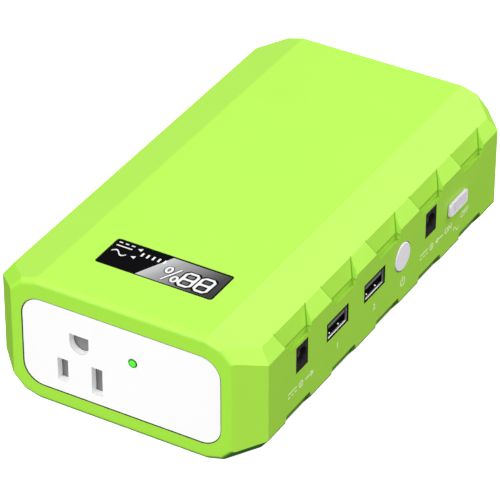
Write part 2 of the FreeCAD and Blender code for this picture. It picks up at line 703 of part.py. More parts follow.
outlet_low_x = (pocket_low_x[0] - SHUTTER_WALL, spring_pocket_end + SHUTTER_WALL)
outlet_high_x = (pocket_high_x[0] - SHUTTER_WALL, pocket_high_x[1] + SHUTTER_WALL)
outlet_low_z = (pocket_low_z[0] - SHUTTER_WALL, pocket_low_z[1] + SHUTTER_WALL)
outlet_high_top = pocket_high_top + SHUTTER_WALL
ear_top = outlet_low_z[1] + 2 * SCREW_EAR
outlet_screw_at = [((outlet_low_x[0] + outlet_high_x[0]) / 2, outlet_low_z[1] + SCREW_EAR / 2),
                   (outlet_low_x[1] - SCREW_EAR, outlet_low_z[0] + SCREW_EAR)]


def outlet_form(y):
    """The stepped outline of the block and its cover: low part, high part and a screw ear."""
    join = outlet_low_z[1] - SHUTTER_WALL
    return fuse([block(outlet_low_x, y, outlet_low_z), block(outlet_high_x, y, (join, outlet_high_top)),
                 block((outlet_low_x[0], outlet_high_x[0]), y, (join, ear_top))])


def safety_shutter():
    """The spring-loaded plate that closes all three pin holes until a plug slides it aside."""
    y = (panel_back_y + SHUTTER_GAP, panel_back_y + SHUTTER_GAP + SHUTTER_THICKNESS)
    plate = fuse([block(shutter_low_x, y, shutter_low_z),
                  block(shutter_high_x, y, (shutter_low_z[1], shutter_high_top))])
    through = (y[0] - OVERCUT, y[1] + OVERCUT)
    plate = plate.cut([slot_hole(hot_x, HOT_SLOT, through),
                       slot_hole(neutral_x, NEUTRAL_SLOT, through),
                       ground_hole(0.0, 0.0, through)])
    return plate.translated(V(-SHUTTER_TRAVEL, 0, 0))


def shutter_spring():
    """The light compression spring that pushes the shutter shut."""
    y = panel_back_y + shutter_pocket_depth / 2
    x = (shutter_low_x[1] - SHUTTER_TRAVEL + BORE_GAP, spring_pocket_end - BORE_GAP)
    length = x[1] - x[0] - 2 * SPRING_WIRE_RADIUS
    helix = Part.makeHelix(length / SPRING_TURNS, length, SPRING_COIL_RADIUS)
    start = helix.Vertexes[0].Point
    ring = Part.Wire([Part.Circle(start, V(0, 1, 0), SPRING_WIRE_RADIUS).toShape()])
    coil = Part.Wire(helix.Edges).makePipeShell([ring], True, True)
    turned = FreeCAD.Placement(V(x[0] + SPRING_WIRE_RADIUS, y, blade_height),
                               FreeCAD.Rotation(V(0, 1, 0), 90))
    coil.Placement = turned.multiply(coil.Placement)
    return coil


def outlet_panel():
    """The white face plate, trapped by its flange between the housing halves."""
    plug = panel_outline(0.0, (panel_front_y, panel_back_y))
    flange = panel_outline(PANEL_FLANGE, (inner_front_y, panel_back_y))
    lamp_post_y = (panel_back_y, panel_back_y + lamp_board_setback())
    posts = [rod("y", at, LAMP_POST_RADIUS, lamp_post_y) for at in lamp_posts()]
    plate = fuse([plug, flange] + posts)
    through = (panel_front_y - OVERCUT, panel_back_y + OVERCUT)
    tools = panel_holes(through)
    tools.append(rod("y", (lamp_x, lamp_height), LAMP_RADIUS + BORE_GAP, through))
    screw_depth = (panel_back_y - OUTLET_SCREW_BITE, panel_back_y)
    tools += [rod("y", at, OUTLET_SCREW_RADIUS + BORE_GAP, screw_depth) for at in outlet_screw_at]
    return plate.cut(tools)


def outlet_body():
    """The insulating block behind the panel: shutter pocket in front, contact chambers behind."""
    y = (panel_back_y, outlet_back_y)
    form = outlet_form(y)
    pocket_y = (panel_back_y - OVERCUT, outlet_front_y)
    tools = [block(pocket_low_x, pocket_y, pocket_low_z),
             block(pocket_high_x, pocket_y, (pocket_low_z[1] - OVERCUT, pocket_high_top)),
             block((pocket_low_x[1] - OVERCUT, spring_pocket_end), pocket_y,
                   around(blade_height, 2 * (SPRING_COIL_RADIUS + SPRING_WIRE_RADIUS + FIT_GAP)))]
    chamber_y = (outlet_back_y - CONTACT_LENGTH - FIT_GAP, outlet_back_y + OVERCUT)
    throat_y = (outlet_front_y - OVERCUT, chamber_y[0] + OVERCUT)
    for x in (hot_x, neutral_x):
        tools.append(block(around(x, CONTACT_WIDTH + 2 * BORE_GAP), chamber_y,
                           around(blade_height, CONTACT_HEIGHT + 2 * BORE_GAP)))
        tools.append(block(around(x, CONTACT_WIDTH - CONTACT_THICKNESS), throat_y,
                           around(blade_height, CONTACT_HEIGHT)))
    tools.append(rod("y", (outlet_x, ground_height), CONTACT_WIDTH + BORE_GAP, chamber_y))
    tools.append(rod("y", (outlet_x, ground_height), CONTACT_WIDTH - CONTACT_THICKNESS, throat_y))
    tools += [rod("y", at, OUTLET_SCREW_RADIUS + BORE_GAP, (y[0] - OVERCUT, y[1] + OVERCUT))
              for at in outlet_screw_at]
    return form.cut(tools)


def outlet_cover():
    """The rear cover that keeps the contacts in, with slots for their tabs."""
    y = (outlet_back_y, cover_back_y)
    plate = outlet_form(y)
    through = (y[0] - OVERCUT, y[1] + OVERCUT)
    slots = [block(around(x, CONTACT_THICKNESS + 2 * BORE_GAP), through,
                   around(z, CONTACT_HEIGHT / 2 + 2 * BORE_GAP))
             for x, z in ((hot_x, blade_height), (neutral_x, blade_height),
                          (outlet_x, ground_height))]
    screws = [rod("y", at, OUTLET_SCREW_RADIUS + BORE_GAP, through) for at in outlet_screw_at]
    return plate.cut(slots + screws)


def blade_contact(x):
    """A folded brass contact: two leaves that grip the blade, a base and a solder tab."""
    y = (outlet_back_y - CONTACT_LENGTH, outlet_back_y)
    outside = block(around(x, CONTACT_WIDTH), y, around(blade_height, CONTACT_HEIGHT))
    inside = block(around(x, CONTACT_WIDTH - 2 * CONTACT_THICKNESS),
                   (y[0] - OVERCUT, y[1] - CONTACT_THICKNESS),
                   around(blade_height, CONTACT_HEIGHT + 2 * OVERCUT))
    tab = block(around(x, CONTACT_THICKNESS), (y[1] - CONTACT_THICKNESS, tab_end_y),
                around(blade_height, CONTACT_HEIGHT / 2))
    return fuse([outside.cut(inside), tab])


def hot_contact():
    """The contact behind the narrow slot."""
    return blade_contact(hot_x)


def neutral_contact():
    """The contact behind the wide slot."""
    return blade_contact(neutral_x)


def ground_contact():
    """A split brass sleeve for the ground pin, closed behind by its base and tab."""
    y = (outlet_back_y - CONTACT_LENGTH, outlet_back_y)
    at = (outlet_x, ground_height)
    sleeve = rod("y", at, CONTACT_WIDTH, y)
    bore = rod("y", at, CONTACT_WIDTH - CONTACT_THICKNESS, (y[0] - OVERCUT, y[1] - CONTACT_THICKNESS))
    slit = block(around(outlet_x, SLEEVE_SLIT), (y[0] - OVERCUT, y[1] - 2 * CONTACT_THICKNESS),
                 around(ground_height, 3 * CONTACT_WIDTH))
    tab = block(around(outlet_x, CONTACT_THICKNESS), (y[1] - CONTACT_THICKNESS, tab_end_y),
                around(ground_height, CONTACT_HEIGHT / 2))
    return fuse([sleeve.cut([bore, slit]), tab])


def outlet_screws():
    """Two screws that pull the cover and the block against the panel."""
    reach = (panel_back_y - OUTLET_SCREW_BITE + FIT_GAP, cover_back_y)
    return Part.makeCompound([
        fuse([rod("y", at, OUTLET_SCREW_RADIUS, reach),
              rod("y", at, OUTLET_HEAD_RADIUS, (cover_back_y, cover_back_y + OUTLET_HEAD_HEIGHT))])
        for at in outlet_screw_at])


# ---------------------------------------------------------------- indicator lamp
def lamp_board_setback():
    """How far the lamp's board stands behind the panel."""
    return LAMP_FLANGE + LED_LENGTH


def lamp_posts():
    """The two posts on the panel that carry the lamp's board."""
    return ((lamp_x, lamp_height + LAMP_POST_OFFSET[1]), (lamp_x + LAMP_POST_OFFSET[0], lamp_height))


def indicator_lens():
    """The green lens, domed a little above the panel and flanged behind it."""
    at = (lamp_x, lamp_height)
    stem = rod("y", at, LAMP_RADIUS, (panel_front_y - LAMP_PROUD, panel_back_y))
    rim = [e for e in stem.Edges if abs(e.CenterOfMass.y - panel_front_y + LAMP_PROUD) < 1e-6]
    stem = stem.makeFillet(LAMP_PROUD * EDGE_SHARE, rim)
    flange = rod("y", at, LAMP_RADIUS + LAMP_FLANGE / 2, (panel_back_y, panel_back_y + LAMP_FLANGE))
    return fuse([stem, flange])


def indicator_led():
    """The round lamp behind the lens."""
    at = (lamp_x, lamp_height)
    y = (panel_back_y + LAMP_FLANGE, panel_back_y + lamp_board_setback())
    return fuse([rod("y", at, LAMP_RADIUS - BORE_GAP, y),
                 rod("y", at, LAMP_RADIUS + LED_RIM, (y[1] - LED_LENGTH / 3, y[1]))])


def indicator_board():
    """The small board that carries the lamp."""
    y = panel_back_y + lamp_board_setback()
    (ax, az), (bx, bz) = lamp_posts()
    edge = LAMP_RADIUS + LED_RIM
    return block((ax - edge, bx + LAMP_BOARD_MARGIN), (y, y + LAMP_BOARD_THICKNESS),
                 (bz - edge, az + LAMP_BOARD_MARGIN))


# ---------------------------------------------------------------- display
def display_window():
    """The window, flush in the top and flanged under it."""
    plug = display_outline(0.0, (window_bottom, window_top))
    flange = display_outline(WINDOW_FLANGE, (window_bottom, ceiling))
    return fuse([plug, flange])


def display_module():
    """The digit display under the window."""
    smaller = 2 * DISPLAY_MODULE_MARGIN
    return block(around(DISPLAY_X, DISPLAY_WIDTH - smaller), around(display_y, DISPLAY_DEPTH - smaller),
                 (display_module_bottom, window_bottom))


def display_board():
    """The board that carries the display, screwed to the posts in the upper housing."""
    plate = block(around(DISPLAY_X, 2 * display_board_half),
                  around(display_y, DISPLAY_DEPTH + 2 * DISPLAY_BOARD_MARGIN),
                  (display_board_bottom, display_module_bottom))
    holes = [rod("z", at, BOARD_SCREW_RADIUS + BORE_GAP,
                 (display_board_bottom - OVERCUT, display_module_bottom + OVERCUT))
             for at in display_posts]
    return plate.cut(holes)


# ---------------------------------------------------------------- ports
def port_board():
    """The long board beside the wall that carries the ports and both switches."""
    plate = block(port_board_x, port_board_y, (port_board_bottom, PORT_BOARD_TOP))
    holes = [rod("z", (port_post_x, y), BOARD_SCREW_RADIUS + BORE_GAP,
                 (port_board_bottom - OVERCUT, PORT_BOARD_TOP + OVERCUT)) for y in port_post_y]
    return plate.cut(holes)


def port_board_chips():
    """The charging chips and a small choke, on the port board's inner margin."""
    x = (port_board_x[0] + PORT_CHIP_MARGIN, port_board_x[0] + PORT_CHIP_MARGIN + CHIP_SIZE[0])
    places = [(y, CHIP_SIZE[1], CHIP_SIZE[2]) for y in usb_y]
    places.append((input_jack_y, CHIP_SIZE[1], PORT_CHOKE_HEIGHT))
    return Part.makeCompound([block(x, around(y, size), (PORT_BOARD_TOP, PORT_BOARD_TOP + tall))
                              for y, size, tall in places])


def usb_shell(index):
    """A USB type A port's folded steel shell, open to the outside, with a bevelled mouth."""
    x = (half_width - USB_RECESS - USB_LENGTH, half_width - USB_RECESS)
    y = around(usb_y[index], USB_WIDTH)
    z = (PORT_BOARD_TOP, PORT_BOARD_TOP + USB_HEIGHT)
    inner = block((x[0] + USB_SHEET, x[1] + OVERCUT), (y[0] + USB_SHEET, y[1] - USB_SHEET),
                  (z[0] + USB_SHEET, z[1] - USB_SHEET))
    shell = block(x, y, z).cut(inner)
    mouth = [e for e in shell.Edges
             if all(abs(v.X - x[1]) < 1e-6 and y[0] + 1e-6 < v.Y < y[1] - 1e-6 for v in e.Vertexes)]
    return shell.makeChamfer(USB_MOUTH_BEVEL, mouth)


def usb_tongue(index):
    """The port's insulator: a block at the back and the tongue that carries the contacts."""
    x0 = half_width - USB_RECESS - USB_LENGTH + USB_SHEET
    x_front = half_width - USB_RECESS - USB_TONGUE_SETBACK
    top = PORT_BOARD_TOP + USB_HEIGHT - USB_SHEET - USB_TONGUE_GAP
    y = usb_y[index]
    root = block((x0, x0 + USB_ROOT_DEPTH), around(y, USB_WIDTH - 2 * USB_SHEET),
                 (PORT_BOARD_TOP + USB_SHEET, PORT_BOARD_TOP + USB_HEIGHT - USB_SHEET))
    tongue = block((x0 + USB_ROOT_DEPTH / 2, x_front), around(y, USB_TONGUE_WIDTH),
                   (top - USB_TONGUE_THICKNESS, top))
    return fuse([root, tongue])


def dc_jack(y):
    """A barrel jack's moulded body with its round socket."""
    x = (half_width - JACK_RECESS - JACK_LENGTH, half_width - JACK_RECESS)
    z = (PORT_BOARD_TOP, PORT_BOARD_TOP + JACK_HEIGHT)
    body = block(x, around(y, JACK_WIDTH), z)
    bore = rod("x", (y, sum(z) / 2), JACK_BORE_RADIUS, (x[1] - JACK_BORE_DEPTH, x[1] + OVERCUT))
    return body.cut(bore)


def dc_pin(y):
    """The jack's centre pin, rooted in the end of its socket."""
    x_end = half_width - JACK_RECESS
    z = PORT_BOARD_TOP + JACK_HEIGHT / 2
    return rod("x", (y, z), JACK_PIN_RADIUS, (x_end - JACK_BORE_DEPTH, x_end - JACK_PIN_SETBACK))


def power_button():
    """The round cap, its flange behind the wall and the stem that reaches the switch."""
    at = (button_y, BUTTON_HEIGHT)
    flange_front = inner_side_x - RUNNING_GAP
    face = half_width + BUTTON_PROUD
    cap = rod("x", at, BUTTON_RADIUS, (flange_front - BUTTON_FLANGE_THICKNESS, face))
    rim = [e for e in cap.Edges if abs(e.CenterOfMass.x - face) < 1e-6]
    cap = cap.makeFillet(BUTTON_EDGE_RADIUS, rim)
    hollow = rod("x", at, BUTTON_RADIUS - BUTTON_WALL,
                 (flange_front - 2 * BUTTON_FLANGE_THICKNESS, face - BUTTON_WALL))
    flange = rod("x", at, BUTTON_FLANGE_RADIUS,
                 (flange_front - BUTTON_FLANGE_THICKNESS, flange_front)).cut(hollow)
    stem = rod("x", at, BUTTON_STEM_RADIUS, (button_stem_end, face - BUTTON_WALL / 2))
    board_room = block((0, port_board_x[1] + BUTTON_TRAVEL + RUNNING_GAP),
                       around(button_y, 3 * BUTTON_FLANGE_RADIUS), (0, PORT_BOARD_TOP + FIT_GAP))
    return fuse([cap.cut(hollow), flange, stem]).cut(board_room)


tact_front_x = inner_side_x - RUNNING_GAP - BUTTON_FLANGE_THICKNESS - BUTTON_TRAVEL - TACT_GAP
button_stem_end = tact_front_x + PLUNGER_REACH


def button_plunger():
    """The tactile switch's plunger, which moves with the cap."""
    return rod("x", (button_y, BUTTON_HEIGHT), PLUNGER_RADIUS,
               (button_stem_end - PLUNGER_REACH - PLUNGER_DEPTH, button_stem_end))


def tactile_switch():
    """The tactile switch's case, with a bore for its plunger."""
    x = (tact_front_x - TACT_DEPTH, tact_front_x)
    case = block(x, around(button_y, TACT_SIZE), (PORT_BOARD_TOP, BUTTON_HEIGHT + TACT_SIZE / 2))
    bore = rod("x", (button_y, BUTTON_HEIGHT), PLUNGER_RADIUS + RUNNING_GAP,
               (x[1] - PLUNGER_DEPTH - BUTTON_TRAVEL - RUNNING_GAP, x[1] + OVERCUT))
    return case.cut(bore)


def ac_switch_knob():
    """The ribbed knob that slides along the side, with its stem through the wall's slot."""
    y = around(switch_y, KNOB_LENGTH)
    x = (half_width + RUNNING_GAP, half_width + KNOB_PROUD)
    cap = rounded_plate("x", y, around(KNOB_CENTRE_HEIGHT, KNOB_HEIGHT), KNOB_CORNER_RADIUS, x)
    rim = [e for e in cap.Edges if all(abs(v.X - x[1]) < 1e-6 for v in e.Vertexes)]
    cap = cap.makeFillet(KNOB_EDGE_RADIUS, rim)
    grooves = []
    for i in range(KNOB_RIB_COUNT):
        groove_y = switch_y + (i - (KNOB_RIB_COUNT - 1) / 2) * KNOB_RIB_PITCH
        grooves.append(block((x[1] - KNOB_RIB_DEPTH, x[1] + OVERCUT),
                             around(groove_y, KNOB_RIB_PITCH / 2),
                             around(KNOB_CENTRE_HEIGHT, KNOB_HEIGHT - 2 * KNOB_RIB_MARGIN)))
    stem = block((lever_x[1], half_width + KNOB_PROUD / 2), around(switch_y, KNOB_STEM_LENGTH),
                 around(KNOB_CENTRE_HEIGHT, KNOB_STEM_HEIGHT))
    return fuse([cap.cut(grooves), stem])


slide_front_x = inner_side_x - RUNNING_GAP
lever_x = (slide_front_x - LEVER_DEPTH, slide_front_x + LEVER_REACH)


def ac_switch_lever():
    """The slide switch's own lever, carried by the knob's stem."""
    return block(lever_x, around(switch_y, LEVER_SIZE), around(KNOB_CENTRE_HEIGHT, LEVER_SIZE))


def ac_switch_body():
    """The slide switch's steel case, slotted for its lever."""
    x = (slide_front_x - SLIDE_BODY_DEPTH, slide_front_x)
    middle = switch_y + KNOB_TRAVEL / 2
    case = block(x, around(middle, SLIDE_BODY_LENGTH),
                 (PORT_BOARD_TOP, KNOB_CENTRE_HEIGHT + KNOB_HEIGHT / 2))
    slot = block((lever_x[0] - RUNNING_GAP, x[1] + OVERCUT),
                 (switch_y - LEVER_SIZE / 2 - RUNNING_GAP,
                  switch_y + LEVER_SIZE / 2 + KNOB_TRAVEL + RUNNING_GAP),
                 around(KNOB_CENTRE_HEIGHT, LEVER_SIZE + 2 * RUNNING_GAP))
    return case.cut(slot)


# ---------------------------------------------------------------- inverter
transformer_at = (inverter_x[0] + CORE_EDGE_GAP + CORE_WIDTH / 2,
                  inverter_y[0] + CORE_FRONT_GAP + CORE_DEPTH / 2)
coil_reach = (CORE_WIDTH - 4 * CORE_LIMB) / 2
capacitor_x = inverter_x[1] - CAPACITOR_RADIUS - CAPACITOR_EDGE_GAP
sink_x = inverter_x[0] + SINK_EDGE_GAP
sink_y = (transformer_at[1] + CORE_DEPTH / 2 + coil_reach + 2 * PIECE_SPACING,
          inverter_y[1] - STANDOFF_INSET - STANDOFF_RADIUS - PIECE_SPACING)
sink_length = sink_y[1] - sink_y[0]
transistor_width = sink_length / 2 - PIECE_SPACING
choke_radius = sink_length / 2
choke_section = CHOKE_SECTION_SHARE * choke_radius
fuse_x = capacitor_x - CAPACITOR_RADIUS - FUSE_RADIUS - PIECE_SPACING


def inverter_board():
    """The large board under the outlet electronics, on four standoffs."""
    plate = block(inverter_x, inverter_y, (INVERTER_BOARD_HEIGHT, inverter_top))
    holes = [rod("z", at, BOARD_SCREW_RADIUS + BORE_GAP,
                 (INVERTER_BOARD_HEIGHT - OVERCUT, inverter_top + OVERCUT))
             for at in inverter_posts]
    return plate.cut(holes)


def transformer_core():
    """The ferrite core: two outer limbs and a middle one, joined above and below."""
    wide, deep, tall = CORE_WIDTH, CORE_DEPTH, CORE_HEIGHT
    x, y = transformer_at
    base = inverter_top + BOBBIN_WALL
    form = block(around(x, wide), around(y, deep), (base, base + tall))
    window_z = (base + CORE_LIMB, base + tall - CORE_LIMB)
    window_wide = (wide - 4 * CORE_LIMB) / 2
    windows = [block(around(x + side * (CORE_LIMB + window_wide / 2), window_wide),
                     around(y, deep + 2 * OVERCUT), window_z) for side in (-1, 1)]
    return form.cut(windows)


def coil_spans(inset):
    """The spans of the coil former's ring in the core's windows, drawn in by inset."""
    wide, deep, tall = CORE_WIDTH, CORE_DEPTH, CORE_HEIGHT
    x, y = transformer_at
    base = inverter_top + BOBBIN_WALL
    outer_x = around(x, wide - 2 * CORE_LIMB - 2 * inset)
    outer_y = around(y, deep + 2 * coil_reach - 2 * inset)
    hole_x = around(x, 2 * CORE_LIMB)
    hole_y = around(y, deep)
    z = (base + CORE_LIMB + inset, base + tall - CORE_LIMB - inset)
    return outer_x, outer_y, hole_x, hole_y, z


def transformer_bobbin():
    """The coil former around the middle limb, with a flange above and below the coil."""
    outer_x, outer_y, hole_x, hole_y, z = coil_spans(BORE_GAP)
    form = block(outer_x, outer_y, z)
    gap = BORE_GAP
    hole = block((hole_x[0] - gap, hole_x[1] + gap), (hole_y[0] - gap, hole_y[1] + gap),
                 (z[0] - OVERCUT, z[1] + OVERCUT))
    wall = BOBBIN_WALL
    groove = block((outer_x[0] - OVERCUT, outer_x[1] + OVERCUT),
                   (outer_y[0] - OVERCUT, outer_y[1] + OVERCUT), (z[0] + wall, z[1] - wall))
    groove = groove.cut(block((hole_x[0] - wall, hole_x[1] + wall),
                              (hole_y[0] - wall, hole_y[1] + wall), z))
    foot_y = (outer_y[0], hole_y[0] - gap)
    feet = [block(around(transformer_at[0] + side * (CORE_LIMB - wall), BOBBIN_FOOT), foot_y,
                  (inverter_top, z[0] + wall / 2)) for side in (-1, 1)]
    mirrored = [f.mirror(V(0, transformer_at[1], 0), V(0, 1, 0)) for f in feet]
    return fuse([form.cut([hole, groove])] + feet + mirrored)


def transformer_winding():
    """The wound coil in the former's groove."""
    outer_x, outer_y, hole_x, hole_y, z = coil_spans(BORE_GAP + BOBBIN_WALL / 2)
    wall = BOBBIN_WALL + BORE_GAP
    form = block(outer_x, outer_y, (z[0] + wall, z[1] - wall))
    hole = block((hole_x[0] - wall, hole_x[1] + wall), (hole_y[0] - wall, hole_y[1] + wall), z)
    return form.cut(hole)


def filter_capacitors():
    """Electrolytic capacitors on the board's right-hand side."""
    first = inverter_posts[0][1] + STANDOFF_RADIUS + CAPACITOR_RADIUS + PIECE_SPACING
    pitch = 2 * CAPACITOR_RADIUS + CAPACITOR_SPACING
    cans = []
    for i in range(CAPACITOR_COUNT):
        can = rod("z", (capacitor_x, first + i * pitch), CAPACITOR_RADIUS,
                  (inverter_top, inverter_top + CAPACITOR_HEIGHT))
        rims = [e for e in can.Edges if len(e.Vertexes) == 1]
        cans.append(can.makeFillet(CAPACITOR_EDGE_RADIUS, rims))
    return Part.makeCompound(cans)


def inverter_chips():
    """The controller chips between the transformer and the capacitors."""
    x = (transformer_at[0] + CORE_WIDTH / 2 + capacitor_x - CAPACITOR_RADIUS) / 2
    return Part.makeCompound([
        block(around(x, CHIP_SIZE[1]), around(transformer_at[1] + step * CHIP_SPACING, CHIP_SIZE[0]),
              (inverter_top, inverter_top + CHIP_SIZE[2])) for step in (-1, 0, 1)])


def heat_sink():
    """A finned aluminium extrusion that stands along the board's left edge."""
    z = (inverter_top, inverter_top + SINK_HEIGHT)
    base = block((sink_x + SINK_DEPTH - SINK_BASE, sink_x + SINK_DEPTH), sink_y, z)
    pitch = (sink_length - SINK_FIN) / (SINK_FINS - 1)
    fins = [block((sink_x, sink_x + SINK_DEPTH - SINK_BASE / 2),
                  (sink_y[0] + i * pitch, sink_y[0] + i * pitch + SINK_FIN), z)
            for i in range(SINK_FINS)]
    return fuse([base] + fins)


def power_transistors():
    """Transistors that stand against the heat sink's flat side."""
    x = (sink_x + SINK_DEPTH, sink_x + SINK_DEPTH + TRANSISTOR_DEPTH)
    middle = sum(sink_y) / 2
    return Part.makeCompound([block(x, around(middle + side * sink_length / 4, transistor_width),
                                    (inverter_top, inverter_top + TRANSISTOR_HEIGHT))
                              for side in (-1, 1)])


def output_choke():
    """A ring-core choke that lies on the board."""
    x = (sink_x + SINK_DEPTH + TRANSISTOR_DEPTH + fuse_x - FUSE_RADIUS) / 2
    at = V(x, sum(sink_y) / 2, inverter_top + choke_section)
    return Part.makeTorus(choke_radius - choke_section, choke_section, at, V(0, 0, 1))


def fuse_link():
    """The fuse in its two clips' caps, lying along the board's right edge."""
    at = (fuse_x, inverter_top + FUSE_RADIUS)
    tube = rod("y", at, FUSE_RADIUS - FIT_GAP, sink_y)
    ends = ((sink_y[0], sink_y[0] + FUSE_CAP_LENGTH), (sink_y[1] - FUSE_CAP_LENGTH, sink_y[1]))
    return fuse([tube] + [rod("y", at, FUSE_RADIUS, span) for span in ends])


# ---------------------------------------------------------------- battery
def cell_centres():
    """The middle of each cell across the pack."""
    return [(pack_x + (column - (CELL_COLUMNS - 1) / 2) * column_pitch,
             middle_height + (row - (CELL_ROWS - 1) / 2) * row_pitch)
            for row in range(CELL_ROWS) for column in range(CELL_COLUMNS)]


def cell(index):
    """One cell, lying along Y: a can, and a raised cap on the end that faces front."""
    at = cell_centres()[index]
    can_front = pack_front_y + CELL_CAP_HEIGHT
    return fuse([rod("y", at, cell_radius, (can_front, pack_rear_y)),
                 rod("y", at, CELL_CAP_RADIUS, (pack_front_y, can_front))])


def cell_holder(y):
    """A moulded frame that holds all the cells at one end."""
    frame = block(around(pack_x, holder_width), y, around(middle_height, holder_height))
    bores = [rod("y", at, cell_radius + BORE_GAP, (y[0] - OVERCUT, y[1] + OVERCUT))
             for at in cell_centres()]
    return frame.cut(bores)


def front_cell_holder():
    """The frame at the cells' front ends."""
    return cell_holder((pack_front_y, pack_front_y + HOLDER_DEPTH))


def rear_cell_holder():
    """The frame at the cells' rear ends."""
    return cell_holder((pack_rear_y - HOLDER_DEPTH, pack_rear_y))


def nickel_strips():
    """Welded strips that join each pair of cells, one above the other, at both ends."""
    strips = []
    for column in range(CELL_COLUMNS):
        x = around(pack_x + (column - (CELL_COLUMNS - 1) / 2) * column_pitch, STRIP_WIDTH)
        z = around(middle_height, row_pitch + STRIP_WIDTH)
        strips.append(block(x, (pack_front_y - STRIP_THICKNESS, pack_front_y), z))
        strips.append(block(x, (pack_rear_y, pack_rear_y + STRIP_THICKNESS), z))
    return Part.makeCompound(strips)


def battery_board():
    """The pack's protection board, on the left of the two cell holders."""
    middle = (pack_front_y + pack_rear_y) / 2
    face_x = pack_left_x - BATTERY_BOARD_THICKNESS
    inset = HOLDER_DEPTH - BATTERY_BOARD_OVERLAP
    plate = block((face_x, pack_left_x), (pack_front_y + inset, pack_rear_y - inset),
                  around(middle_height, holder_height - 2 * BATTERY_BOARD_MARGIN))
    chips = [block((face_x - CHIP_SIZE[2], face_x),
                   around(middle + side * BATTERY_CHIP_SPACING, CHIP_SIZE[1]),
                   around(middle_height, CHIP_SIZE[0])) for side in (-1, 0, 1)]
    return fuse([plate] + chips)


def battery_pads():
    """Foam pads that hold the pack between the floor and the ceiling."""
    spans = []
    for y in ((pack_front_y, pack_front_y + HOLDER_DEPTH), (pack_rear_y - HOLDER_DEPTH, pack_rear_y)):
        for z in ((WALL, pack_bottom), (pack_bottom + holder_height, ceiling)):
            spans.append(block(around(pack_x, holder_width - 2 * PAD_MARGIN), y, z))
    return Part.makeCompound(spans)


# ---------------------------------------------------------------- leads and small screws
def outlet_leads():
    """Leads from the three contact tabs down to the inverter board."""
    leads = []
    for x, z in ((hot_x, blade_height), (neutral_x, blade_height), (outlet_x, ground_height)):
        leads.append(lead(V(x, tab_end_y, z), 1, INVERTER_END_GAP / 2, z - inverter_top, LEAD_RADIUS))
    return Part.makeCompound(leads)


def battery_leads():
    """Leads from the front strips of the outer cell columns down to the inverter board."""
    z = middle_height
    start_y = pack_front_y - STRIP_THICKNESS
    return Part.makeCompound([lead(V(pack_x + side * column_pitch, start_y, z), -1,
                                   INVERTER_END_GAP, z - inverter_top, LEAD_RADIUS)
                              for side in (-1, 1)])


def display_ribbon():
    """The flat cable from the underside of the display board down to the port board."""
    front = max(port_board_y[0], display_y - DISPLAY_DEPTH / 2)
    return block((ribbon_x, ribbon_x + RIBBON_THICKNESS), (front, front + RIBBON_WIDTH),
                 (PORT_BOARD_TOP, display_board_bottom))


def board_screws():
    """The small screws that hold the inverter, port and display boards."""
    screws = [screw(x, y, inverter_top, BOARD_SCREW_RADIUS, BOARD_SCREW_LENGTH,
                    BOARD_HEAD_RADIUS, BOARD_HEAD_HEIGHT, False) for x, y in inverter_posts]
    screws += [screw(port_post_x, y, PORT_BOARD_TOP, BOARD_SCREW_RADIUS, BOARD_SCREW_LENGTH,
                     BOARD_HEAD_RADIUS, BOARD_HEAD_HEIGHT, False) for y in port_post_y]
    screws += [screw(x, y, display_board_bottom, BOARD_SCREW_RADIUS, DISPLAY_SCREW_LENGTH,
                     BOARD_HEAD_RADIUS, BOARD_HEAD_HEIGHT, True) for x, y in display_posts]
    return Part.makeCompound(screws)


# ---------------------------------------------------------------- write every piece
PIECES = {piece.__name__: piece for piece in (
    upper_housing, lower_housing, case_screws, screw_plugs,
    outlet_panel, outlet_body, outlet_cover, safety_shutter, shutter_spring,
    hot_contact, neutral_contact, ground_contact, outlet_screws,
    indicator_lens, indicator_led, indicator_board,
    display_window, display_module, display_board,
    port_board, port_board_chips, power_button, button_plunger, tactile_switch,
    ac_switch_knob, ac_switch_lever, ac_switch_body,
    inverter_board, transformer_core, transformer_bobbin, transformer_winding,
    inverter_chips, filter_capacitors, heat_sink, power_transistors, output_choke, fuse_link,
    front_cell_holder, rear_cell_holder, nickel_strips, battery_board, battery_pads,
    outlet_leads, battery_leads, display_ribbon, board_screws)}
for number in range(len(USB_AT)):
    PIECES["usb_shell_%d" % (number + 1)] = lambda i=number: usb_shell(i)
    PIECES["usb_tongue_%d" % (number + 1)] = lambda i=number: usb_tongue(i)
for name, place in (("output_jack", output_jack_y), ("input_jack", input_jack_y)):
    PIECES[name] = lambda y=place: dc_jack(y)
    PIECES[name + "_pin"] = lambda y=place: dc_pin(y)
for number in range(CELL_COLUMNS * CELL_ROWS):
    PIECES["cell_%d" % (number + 1)] = lambda i=number: cell(i)

os.makedirs("parts", exist_ok=True)
for name, make in PIECES.items():
    shape = make()
    shape.exportStep("parts/%s.step" % name)
    print("%-20s solids %d  volume %9.1f  valid %s"
          % (name, len(shape.Solids), shape.Volume, shape.isValid()))
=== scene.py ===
import json
import math

import bmesh
import bpy
from mathutils import Matrix, Vector


